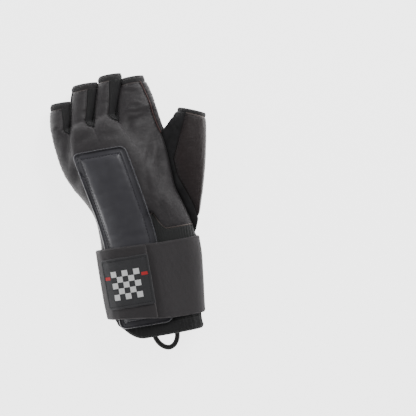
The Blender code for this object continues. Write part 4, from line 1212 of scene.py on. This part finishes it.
# The pocket's middle: along in shares of its length, across in shares of KNUCKLE_WIDTH.
POCKET_LINE = ((0.00, 0.000), (0.45, 0.000), (1.00, 0.080))
WINDOW_WIDTH, WINDOW_LENGTH, WINDOW_CORNER = 42.0, 45.0, 5.0
CUT_FROM, CUT_TO = -20.0, 40.0

in_palm = drape(hand_tree, False)
along_palm = laid_along(in_palm, POCKET_LINE, KNUCKLE_WIDTH, POCKET_SIZE[1], POCKET_TOP)
palm_pocket_cover = padded_cover("palm_pocket_cover", POCKET_PROFILE, POCKET_SIZE, POCKET_CORNER, along_palm,
                                 facing=-1, node="palm_splint_pocket")


def rounded_oblong(width, length, radius, steps=10):
    """The outline of a rounded oblong about the origin, anticlockwise."""
    outline = []
    for quarter, (sx, sy) in enumerate(((1, 1), (-1, 1), (-1, -1), (1, -1))):
        for i in range(steps + 1):
            turn = math.pi / 2 * (quarter + i / steps)
            outline.append((sx * (width / 2 - radius) + radius * math.cos(turn),
                            sy * (length / 2 - radius) + radius * math.sin(turn)))
    return outline


outline = rounded_oblong(WINDOW_WIDTH, WINDOW_LENGTH, WINDOW_CORNER)
ring = len(outline)
cutter_mesh = bpy.data.meshes.new("window_cutter")
cutter_mesh.from_pydata([Vector((x, y, z)) * MM for z in (CUT_FROM, CUT_TO) for x, y in outline], [],
                        [list(range(ring))[::-1], list(range(ring, 2 * ring))]
                        + [[i, (i + 1) % ring, (i + 1) % ring + ring, i + ring] for i in range(ring)])
cutter = bpy.data.objects.new("window_cutter", cutter_mesh)
bpy.context.scene.collection.objects.link(cutter)
window_cut = palm_pocket_cover.modifiers.new("window", "BOOLEAN")
window_cut.operation, window_cut.object = "DIFFERENCE", cutter


def applied(piece):
    """The piece with what its modifiers make of it as its mesh, and no modifier left."""
    bpy.context.view_layer.update()
    mesh = bpy.data.meshes.new_from_object(piece.evaluated_get(bpy.context.evaluated_depsgraph_get()))
    piece.modifiers.clear()
    piece.data = mesh
    return piece


applied(palm_pocket_cover)
bpy.data.objects.remove(cutter)

# The strap.
# A wide band of woven elastic, 2 mm thick, goes once round the wrist and over its own end on the back, where
# a woven label is sewn to it. Its ribs run along the band.
STRAP_WIDTH = 68.0
STRAP_THICKNESS = 2.0
STRAP_TOP = -31.2
STRAP_OVERLAP = 44.0
STRAP_SKEW_TOP = 1.2
STRAP_SKEW_BOTTOM = 4.0
STRAP_STEP_DOWN = 30.0
STRAP_REST = 0.7
STRAP_END = 8.0


class Wrap:
    """The path of a stretched band round what it wraps: the convex outline of its section at each station."""

    def __init__(self, nodes, low, high, count=5, sides=144):
        points = [v.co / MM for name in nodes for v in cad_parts[name].data.vertices]
        self.stations = [lerp(low, high, i / (count - 1)) for i in range(count)]
        band = (high - low) / (count - 1) * 0.75
        self.sides = sides
        around = [p for p in points if low - band < p.y < high + band]
        self.middle = Vector((sum(p.x for p in around) / len(around), sum(p.z for p in around) / len(around)))
        self.reach = [self.outline([p for p in points if abs(p.y - y) < band]) for y in self.stations]

    def outline(self, points):
        flat = [Vector((p.x, p.z)) - self.middle for p in points]
        hull = [flat[i] for i in convex_hull_2d(flat)]
        normals = []
        for a, b in zip(hull, hull[1:] + hull[:1]):
            edge = b - a
            if edge.length < 1e-6:
                continue
            normal = Vector((edge.y, -edge.x)).normalized()
            normals.append((normal if normal.dot(a) > 0 else -normal, abs(normal.dot(a)) + STRAP_REST))
        found = []
        for i in range(self.sides):
            turn = 2 * math.pi * i / self.sides
            ray = Vector((math.cos(turn), math.sin(turn)))
            found.append(min(far / ray.dot(normal) for normal, far in normals if ray.dot(normal) > 1e-3))
        soft = [(found[i - 1] + 2 * found[i] + found[(i + 1) % self.sides]) / 4 for i in range(self.sides)]
        return [max(a, b) for a, b in zip(found, soft)]

    def point(self, turn, y, out):
        """A point at a turn from the thumb side up over the back, out from the band's inner skin."""
        station = min(max(y, self.stations[0]), self.stations[-1])
        side = turn * self.sides / (2 * math.pi)
        first = math.floor(side)
        reaches = ([reach[i % self.sides] for reach in self.reach] for i in (first, first + 1))
        far = lerp(*(curve_through(self.stations, reach, station) for reach in reaches), side % 1) + out
        return Vector((self.middle.x + math.cos(turn) * far, y, self.middle.y + math.sin(turn) * far))


wrap = Wrap(["back_leather", "palm_suede", "wrist_cuff", "back_splint_pad", "palm_splint_pocket"],
            STRAP_TOP - STRAP_WIDTH - STRAP_SKEW_BOTTOM, STRAP_TOP + STRAP_SKEW_TOP)


def turn_over_back(x, y):
    """The turn at which the band passes over x on the back of the wrist."""
    return min((math.pi * i / 360 for i in range(1, 360)), key=lambda turn: abs(wrap.point(turn, y, 0).x - x))


def strap_edges(turn):
    """The y of the strap's lower and upper edges at a turn: it widens a little towards the thumb."""
    side = math.cos(turn)
    return STRAP_TOP - STRAP_WIDTH - STRAP_SKEW_BOTTOM * side, STRAP_TOP - STRAP_SKEW_TOP * side


def band_run(turns, y, out):
    """How far along the band each turn lies."""
    run = [0.0]
    for a, b in zip(turns, turns[1:]):
        run.append(run[-1] + (wrap.point(b, y, out) - wrap.point(a, y, out)).length)
    return run


FINE_TURNS = 900
STRAP_STEPS, STRAP_LINES = 260, 56
STRAP_DARK, STRAP_LIGHT = (0.016, 0.0148, 0.0155), (0.060, 0.055, 0.058)
strap_middle = STRAP_TOP - STRAP_WIDTH / 2
strap_end = turn_over_back(STRAP_END, strap_middle)
strap_left = turn_over_back(STRAP_END - STRAP_OVERLAP, strap_middle)
fine_turns = [lerp(strap_end, strap_left + 2 * math.pi, i / FINE_TURNS) for i in range(FINE_TURNS + 1)]
strap_run = band_run(fine_turns, strap_middle, 0)
top, under, uvs = {}, {}, {}
for i in range(STRAP_STEPS + 1):
    far = strap_run[-1] * i / STRAP_STEPS
    turn = curve_through(strap_run, fine_turns, far)
    over = 1 - ramp(turn, strap_left, strap_left + math.radians(STRAP_STEP_DOWN))
    lift = (STRAP_THICKNESS + STRAP_REST) * over * over * (3 - 2 * over)
    low, high = strap_edges(turn)
    end_edge = min(far, strap_run[-1] - far)
    for j in range(STRAP_LINES + 1):
        share = j / STRAP_LINES
        edge = min(share, 1 - share) * STRAP_WIDTH
        y = lerp(low, high, share) + 0.25 * noise.noise(Vector((far / 9, j / 40, 0)))
        hem = 0.25 * math.exp(-((end_edge - 3.0) / 2.0) ** 2)
        selvedge = 0.18 * math.exp(-((edge - 1.6) / 1.2) ** 2)
        wave = 0.12 * noise.noise(Vector((far / 14, y / 20, 4.0)))
        thin = 0.75 * math.exp(-((min(edge, end_edge) / 0.7) ** 2))
        under[i, j] = wrap.point(turn, y, lift)
        top[i, j] = wrap.point(turn, y, lift + STRAP_THICKNESS * 0.92 + hem + selvedge + wave - thin)
        uvs[i, j] = (far, share * STRAP_WIDTH)
points, faces, uvs = solid_between(top, under, uvs, grid_cells(STRAP_STEPS, STRAP_LINES), facing=1)
strap_cloth = woven_material("woven_elastic", STRAP_DARK, STRAP_LIGHT, roughness=0.85, rib=0.95, cross=1.6,
                             depth=0.16, fuzz=0.5, sheen=0.04)
new_piece("wrist_strap_band", points, faces, strap_cloth, ["wrist_strap"], uvs=uvs)

# The skid plate.
# Moulded from glossy black plastic, it arches out of the window between two feet and has a flat crown, on
# which the glove rests.
PLATE_THICKNESS = 2.4
PLATE_CLEARANCE = 0.6
PLATE_FLAT = 20.0
PLATE_FOOT_GAP = 0.7
PLATE_ROUND = 0.7
PLATE_COLUMNS, PLATE_LINES, CORNER_LINES = 14, 40, 8

plate_wide, plate_long = WINDOW_WIDTH - 2 * PLATE_CLEARANCE, WINDOW_LENGTH - 2 * PLATE_CLEARANCE
plate_corner = WINDOW_CORNER - PLATE_CLEARANCE
half, flat = plate_long / 2, PLATE_FLAT / 2
foot = min(in_palm(x, y, PLATE_FOOT_GAP).z for x in (-plate_wide / 3, 0, plate_wide / 3) for y in (-half, half))


def close_at_corners(length, count):
    """Grid lines along one side of the plate, close together at its rounded corners."""
    close = [plate_corner * (i / CORNER_LINES) ** 1.5 for i in range(CORNER_LINES + 1)]
    middle = [lerp(plate_corner, length - plate_corner, i / count) for i in range(1, count)]
    return close + middle + [length - u for u in reversed(close)]


across, along = close_at_corners(plate_wide, PLATE_COLUMNS), close_at_corners(plate_long, PLATE_LINES)
top, under, uvs = {}, {}, {}
for i, u in enumerate(across):
    for j, v in enumerate(along):
        at_u, at_v, inset = rounded_corner(u, v, plate_wide, plate_long, plate_corner)
        run = max(0.0, (abs(half - v) - flat) / (half - flat))
        fall = (foot - PLATE_THICKNESS) * (1 - math.sqrt(max(0.0, 1 - run**2.2)))
        edge = PLATE_ROUND * (1 - math.sqrt(1 - max(0.0, 1 - inset / PLATE_ROUND) ** 2))
        top[i, j] = Vector((at_u - plate_wide / 2, at_v - half, fall + edge))
        under[i, j] = Vector((at_u - plate_wide / 2, at_v - half, fall + PLATE_THICKNESS))
        uvs[i, j] = (at_u, at_v)
points, faces, uvs = solid_between(top, under, uvs, grid_cells(len(across) - 1, len(along) - 1), facing=1)
polished, _, polished_shader = new_material("polished_black", (0.012, 0.012, 0.014), 0.10)
polished_shader.inputs["Coat Weight"].default_value = 0.6
polished_shader.inputs["Coat Roughness"].default_value = 0.05
new_piece("skid_plate_shell", points, faces, polished, ["skid_plate"], uvs=uvs)

# The label on the strap's free end.
# A woven patch, sewn down round its border, with a plain chequered field in white between two short red bars.
TAB_SIZE = (46.0, 46.5)
TAB_THICKNESS = 1.3
TAB_DROP = 8.5
TAB_CORNER = 2.5
TAB_CHANNEL = 2.6
TAB_COLUMNS, TAB_LINES, TAB_TURNS = 60, 60, 260
CHECK_CELL = 5.3
CHECKS_WIDE, CHECKS_HIGH = 5, 5
CHECKS_AT = (23.0, 25.0)
BAR_AT, BAR_SIZE = (17.6, 17.5), (2.9, 1.5)
LABEL_DARK, LABEL_LIGHT = (0.016, 0.016, 0.018), (0.060, 0.060, 0.064)
WHITE_THREAD, RED_THREAD = (0.92, 0.92, 0.92), (0.62, 0.03, 0.035)
PRINT_RELIEF = 1.5

tab_top = STRAP_TOP - TAB_DROP
tab_middle = tab_top - TAB_SIZE[1] / 2
tab_layer = 2 * STRAP_THICKNESS + STRAP_REST
tab_first = turn_over_back(STRAP_END, tab_middle)
tab_turns = [tab_first + math.radians(0.5) * i for i in range(TAB_TURNS)]
tab_run = band_run(tab_turns, tab_middle, tab_layer)


def on_tab(u, v, height):
    """A point of the label: u from its little finger side, v down from its top, above the strap's skin."""
    return wrap.point(curve_through(tab_run, tab_turns, TAB_SIZE[0] - u), tab_top - v, tab_layer + height)


top, under, uvs = {}, {}, {}
for i in range(TAB_COLUMNS + 1):
    for j in range(TAB_LINES + 1):
        u, v = TAB_SIZE[0] * i / TAB_COLUMNS, TAB_SIZE[1] * j / TAB_LINES
        u, v, inset = rounded_corner(u, v, *TAB_SIZE, TAB_CORNER)
        welt = 0.30 * math.exp(-(((inset - 0.9) / 0.6) ** 2))
        welt -= 0.35 * math.exp(-(((inset - TAB_CHANNEL) / 0.5) ** 2))
        thin = 0.5 * math.exp(-((inset / 0.4) ** 2))
        wave = 0.14 * noise.noise(Vector((u / 9, v / 9, 2.0)))
        top[i, j] = on_tab(u, v, TAB_THICKNESS * 0.85 + welt + wave - thin)
        under[i, j] = on_tab(u, v, 0.0)
        uvs[i, j] = (u, v)
points, faces, uvs = solid_between(top, under, uvs, grid_cells(TAB_COLUMNS, TAB_LINES), facing=1)

print_group, print_in, print_out = new_group("Chequered print", {"Cell": CHECK_CELL}, ("White", "Red"))
print_maths = functools.partial(maths, print_group)
label_u, label_v = weave_map(print_group)
field_wide, field_high = CHECKS_WIDE * CHECK_CELL, CHECKS_HIGH * CHECK_CELL


def cell_of(socket, corner):
    """Which cell of the field this is, counted from its corner."""
    return print_maths("FLOOR", print_maths("DIVIDE", print_maths("SUBTRACT", socket, corner), print_in["Cell"]))


def within(socket, middle, half_size):
    """1 where the socket is within half_size of the middle, else 0."""
    off = print_maths("ABSOLUTE", print_maths("SUBTRACT", socket, middle))
    return print_maths("LESS_THAN", off, half_size)


cells_in = print_maths("ADD", cell_of(label_u, CHECKS_AT[0] - field_wide / 2),
                       cell_of(label_v, CHECKS_AT[1] - field_high / 2))
odd = print_maths("ABSOLUTE", print_maths("MODULO", cells_in, 2.0))
in_field = print_maths("MULTIPLY", within(label_u, CHECKS_AT[0], field_wide / 2),
                       within(label_v, CHECKS_AT[1], field_high / 2))
white = print_maths("MULTIPLY", print_maths("SUBTRACT", 1.0, odd), in_field)
print_group.links.new(white, print_out["White"])
off_middle = print_maths("ABSOLUTE", print_maths("SUBTRACT", label_u, CHECKS_AT[0]))
in_bars = print_maths("MULTIPLY", within(off_middle, BAR_AT[0], BAR_SIZE[0]),
                      within(label_v, BAR_AT[1], BAR_SIZE[1]))
print_group.links.new(in_bars, print_out["Red"])

label_cloth, label_tree, label_shader = new_material("label_weave", (0.03, 0.03, 0.032), 0.75)
label_threads = put_group(label_tree, thread_group, Rib=0.5, Cross=0.5, Fuzz=0.4)
label_print = put_group(label_tree, print_group)
# The label's threads carry the same painted shade between them and painted highlight on their crests.
label_colour = blend_colours(label_tree, label_threads["Tone"], LABEL_DARK, LABEL_LIGHT)
for part, thread in (("White", WHITE_THREAD), ("Red", RED_THREAD)):
    label_colour = blend_colours(label_tree, label_print[part], label_colour, thread)
label_tree.links.new(label_colour, label_shader.inputs["Base Color"])
printed = maths(label_tree, "ADD", label_print["White"], label_print["Red"])
raised_print = maths(label_tree, "ADD", label_threads["Height"],
                     maths(label_tree, "MULTIPLY", printed, PRINT_RELIEF))
bump_from(label_tree, raised_print, 0.10)
strap_label = new_piece("strap_label", points, faces, label_cloth, ["strap_tab"], uvs=uvs)

# The stitches.
# Black or grey bonded thread, 0.5 mm thick, holds every seam with single or double rows of lockstitch. Each
# row is a line on the finished piece that a node tree sets with stitches.
THREAD = 0.50
PAD_THREAD, LABEL_THREAD = 0.55, 0.42
STITCH_LENGTH, STITCH_PITCH = 2.1, 2.9
STITCH_SEED = 11
STITCH_SHORTEST, STITCH_LONGEST = 0.9, 1.1
THREAD_RISE = 0.08
ROW_STEP = 1.5
SEAM_ROW, SECOND_SEAM_ROW = 1.8, 4.2
BACK_PAD_ROWS, POCKET_ROWS = (3.1, 4.9), (2.0, 4.4)

stitch_tree = bpy.data.node_groups.new("Stitch row", "GeometryNodeTree")
for label, kind, value in (("Geometry", "Geometry", None), ("Pitch", "Float", STITCH_PITCH * MM),
                           ("Length", "Float", STITCH_LENGTH * MM), ("Thread", "Float", THREAD * MM),
                           ("Seed", "Int", STITCH_SEED), ("Material", "Material", None)):
    socket = stitch_tree.interface.new_socket(label, in_out="INPUT", socket_type="NodeSocket" + kind)
    if value is not None:
        socket.default_value = value
stitch_tree.interface.new_socket("Geometry", in_out="OUTPUT", socket_type="NodeSocketGeometry")


def stitch_node(kind, settings=None, **sockets):
    """A node of the stitch tree with its settings, and its inputs joined or set by name."""
    node = stitch_tree.nodes.new(kind)
    for label, value in (settings or {}).items():
        setattr(node, label, value)
    for label, value in sockets.items():
        feed(stitch_tree, node.inputs[label], value)
    return node


given = stitch_tree.nodes.new("NodeGroupInput").outputs
row_curve = stitch_node("GeometryNodeMeshToCurve", Mesh=given["Geometry"])
row_points = stitch_node("GeometryNodeResampleCurve", {"mode": "LENGTH"}, Curve=row_curve.outputs["Curve"],
                         Length=given["Pitch"])
row_tangent = stitch_tree.nodes.new("GeometryNodeInputTangent")
row_up = stitch_node("GeometryNodeInputNamedAttribute", {"data_type": "FLOAT_VECTOR"}, Name="up")
along_row = stitch_node("FunctionNodeAlignRotationToVector", {"axis": "X"}, Vector=row_tangent.outputs["Tangent"])
upright = stitch_node("FunctionNodeAlignRotationToVector", {"axis": "Z", "pivot_axis": "X"},
                      Rotation=along_row.outputs["Rotation"], Vector=[s for s in row_up.outputs if s.enabled][0])
one_stitch = stitch_node("GeometryNodeMeshUVSphere", Segments=6, Rings=5, Radius=0.5)
unlike = stitch_node("FunctionNodeRandomValue", Seed=given["Seed"])
for socket, value in zip([s for s in unlike.inputs if s.type == "VALUE"], (STITCH_SHORTEST, STITCH_LONGEST)):
    socket.default_value = value
stitch_long = stitch_node("ShaderNodeMath", {"operation": "MULTIPLY"})
stitch_tree.links.new(given["Length"], stitch_long.inputs[0])
stitch_tree.links.new([s for s in unlike.outputs if s.type == "VALUE"][0], stitch_long.inputs[1])
stitch_size = stitch_node("ShaderNodeCombineXYZ", X=stitch_long.outputs[0], Y=given["Thread"], Z=given["Thread"])
set_stitches = stitch_node("GeometryNodeInstanceOnPoints", Points=row_points.outputs["Curve"],
                           Instance=one_stitch.outputs["Mesh"], Rotation=upright.outputs["Rotation"],
                           Scale=stitch_size.outputs["Vector"])
real_stitches = stitch_node("GeometryNodeRealizeInstances", Geometry=set_stitches.outputs["Instances"])
dyed_stitches = stitch_node("GeometryNodeSetMaterial", Geometry=real_stitches.outputs["Geometry"],
                            Material=given["Material"])
stitch_node("NodeGroupOutput", Geometry=dyed_stitches.outputs["Geometry"])
stitch_inputs = {item.name: item.identifier for item in stitch_tree.interface.items_tree
                 if item.in_out == "INPUT"}


def skin_of(piece):
    """A tree of a piece's faces in millimetres, to lay things on."""
    mesh = piece.data
    return BVHTree.FromPolygons([v.co / MM for v in mesh.vertices], [tuple(p.vertices) for p in mesh.polygons])


def stitch_rows(name, lines, material, pitch=STITCH_PITCH, length=STITCH_LENGTH, thread=THREAD):
    """Rows of stitches along lines, each a list of (place, up) in millimetres."""
    places = [at for line in lines for at in line]
    edges, first = [], 0
    for line in lines:
        edges += [(first + i, first + i + 1) for i in range(len(line) - 1)]
        first += len(line)
    mesh = bpy.data.meshes.new(name)
    mesh.from_pydata([(place + up * thread * THREAD_RISE) * MM for place, up in places], edges, [])
    ups = mesh.attributes.new("up", "FLOAT_VECTOR", "POINT")
    ups.data.foreach_set("vector", [value for _, up in places for value in up])
    made = bpy.data.objects.new(name, mesh)
    bpy.context.scene.collection.objects.link(made)
    nodes = made.modifiers.new("stitches", "NODES")
    nodes.node_group = stitch_tree
    for label, value in (("Pitch", pitch * MM), ("Length", length * MM), ("Thread", thread * MM),
                         ("Seed", STITCH_SEED), ("Material", material)):
        nodes[stitch_inputs[label]] = value
    applied(made).data.shade_smooth()
    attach(made, "root")


def seam_rows(piece, panel, inset, others=None):
    """Lines on a panel at an inset from its seams with the others, broken where they would cross a corner."""
    skin = skin_of(piece)
    rim = tree_of([hand.points[c] for chain in seam_chains(panel) for c in chain])
    lines = []
    for chain in seam_chains(panel, others):
        line = []
        for k, corner in enumerate(chain):
            start, end = chain[max(k - 1, 0)], chain[min(k + 1, len(chain) - 1)]
            if start == end:
                continue
            run = (hand.points[end] - hand.points[start]).normalized()
            normal = hand_normals[corner]
            place = hand.points[corner] + normal.cross(run).normalized() * inset
            hit, up, _, _ = skin.ray_cast(place + normal * 3, -normal, 6)
            if hit and up.dot(normal) > 0.5 and far_from(rim, place) > 0.86 * inset:
                line.append((hit, up))
            elif line:
                lines.append(line)
                line = []
        lines.append(line)
    return [line for line in lines if len(line) > 4]


def ring_row(skin, width, length, radius, steps, place):
    """A closed line on a skin, round a rounded oblong whose points place(x, y) puts near it."""
    outline = rounded_oblong(width, length, radius, steps)
    ring = []
    for a, b in zip(outline, outline[1:] + outline[:1]):
        count = max(1, round(math.dist(a, b) / ROW_STEP))
        ring += [(lerp(a[0], b[0], i / count), lerp(a[1], b[1], i / count)) for i in range(count)]
    return [skin.find_nearest(place(x, y))[:2] for x, y in [*ring, ring[0]]]


def pad_rows(piece, size, corner, insets, place):
    """Closed lines round a pad at the insets, laid on its skin."""
    skin = skin_of(piece)
    width, length, height = size
    return [ring_row(skin, width - 2 * inset, length - 2 * inset, max(0.6, corner - inset * 0.6), 6,
                     lambda x, y: place(x, length / 2 - y, REST_GAP + height)) for inset in insets]


thread_black = new_material("bonded_thread", (0.012, 0.012, 0.013), 0.6)[0]
thread_grey = new_material("grey_thread", (0.060, 0.058, 0.062), 0.6)[0]
stitch_rows("back_leather_stitches", seam_rows(back_leather_panel, "back_leather", SEAM_ROW), thread_black)
stitch_rows("palm_leather_stitches", seam_rows(palm_leather_panel, "palm_leather", SEAM_ROW)
            + seam_rows(palm_leather_panel, "palm_leather", SECOND_SEAM_ROW, ["palm_suede"]), thread_grey)
stitch_rows("thumb_leather_stitches", seam_rows(thumb_leather_panel, "thumb_leather", SEAM_ROW), thread_black)
stitch_rows("back_pad_stitches",
            pad_rows(back_pad_cover, BACK_PAD_SIZE, BACK_PAD_CORNER, BACK_PAD_ROWS, along_back),
            thread_black, thread=PAD_THREAD)
stitch_rows("pocket_stitches", pad_rows(palm_pocket_cover, POCKET_SIZE, POCKET_CORNER, POCKET_ROWS, along_palm),
            thread_grey, thread=PAD_THREAD)
label_row = ring_row(
    skin_of(strap_label), TAB_SIZE[0] - 2 * TAB_CHANNEL, TAB_SIZE[1] - 2 * TAB_CHANNEL, 1.0, 4,
    lambda x, y: on_tab(x + TAB_SIZE[0] / 2, TAB_SIZE[1] / 2 - y, TAB_THICKNESS + 0.5))
stitch_rows("label_stitches", [label_row], thread_black, pitch=2.2, length=1.6, thread=LABEL_THREAD)

low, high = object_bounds()
{"cad": [list(cad_low), list(cad_high)], "visual": [list(low), list(high)]}
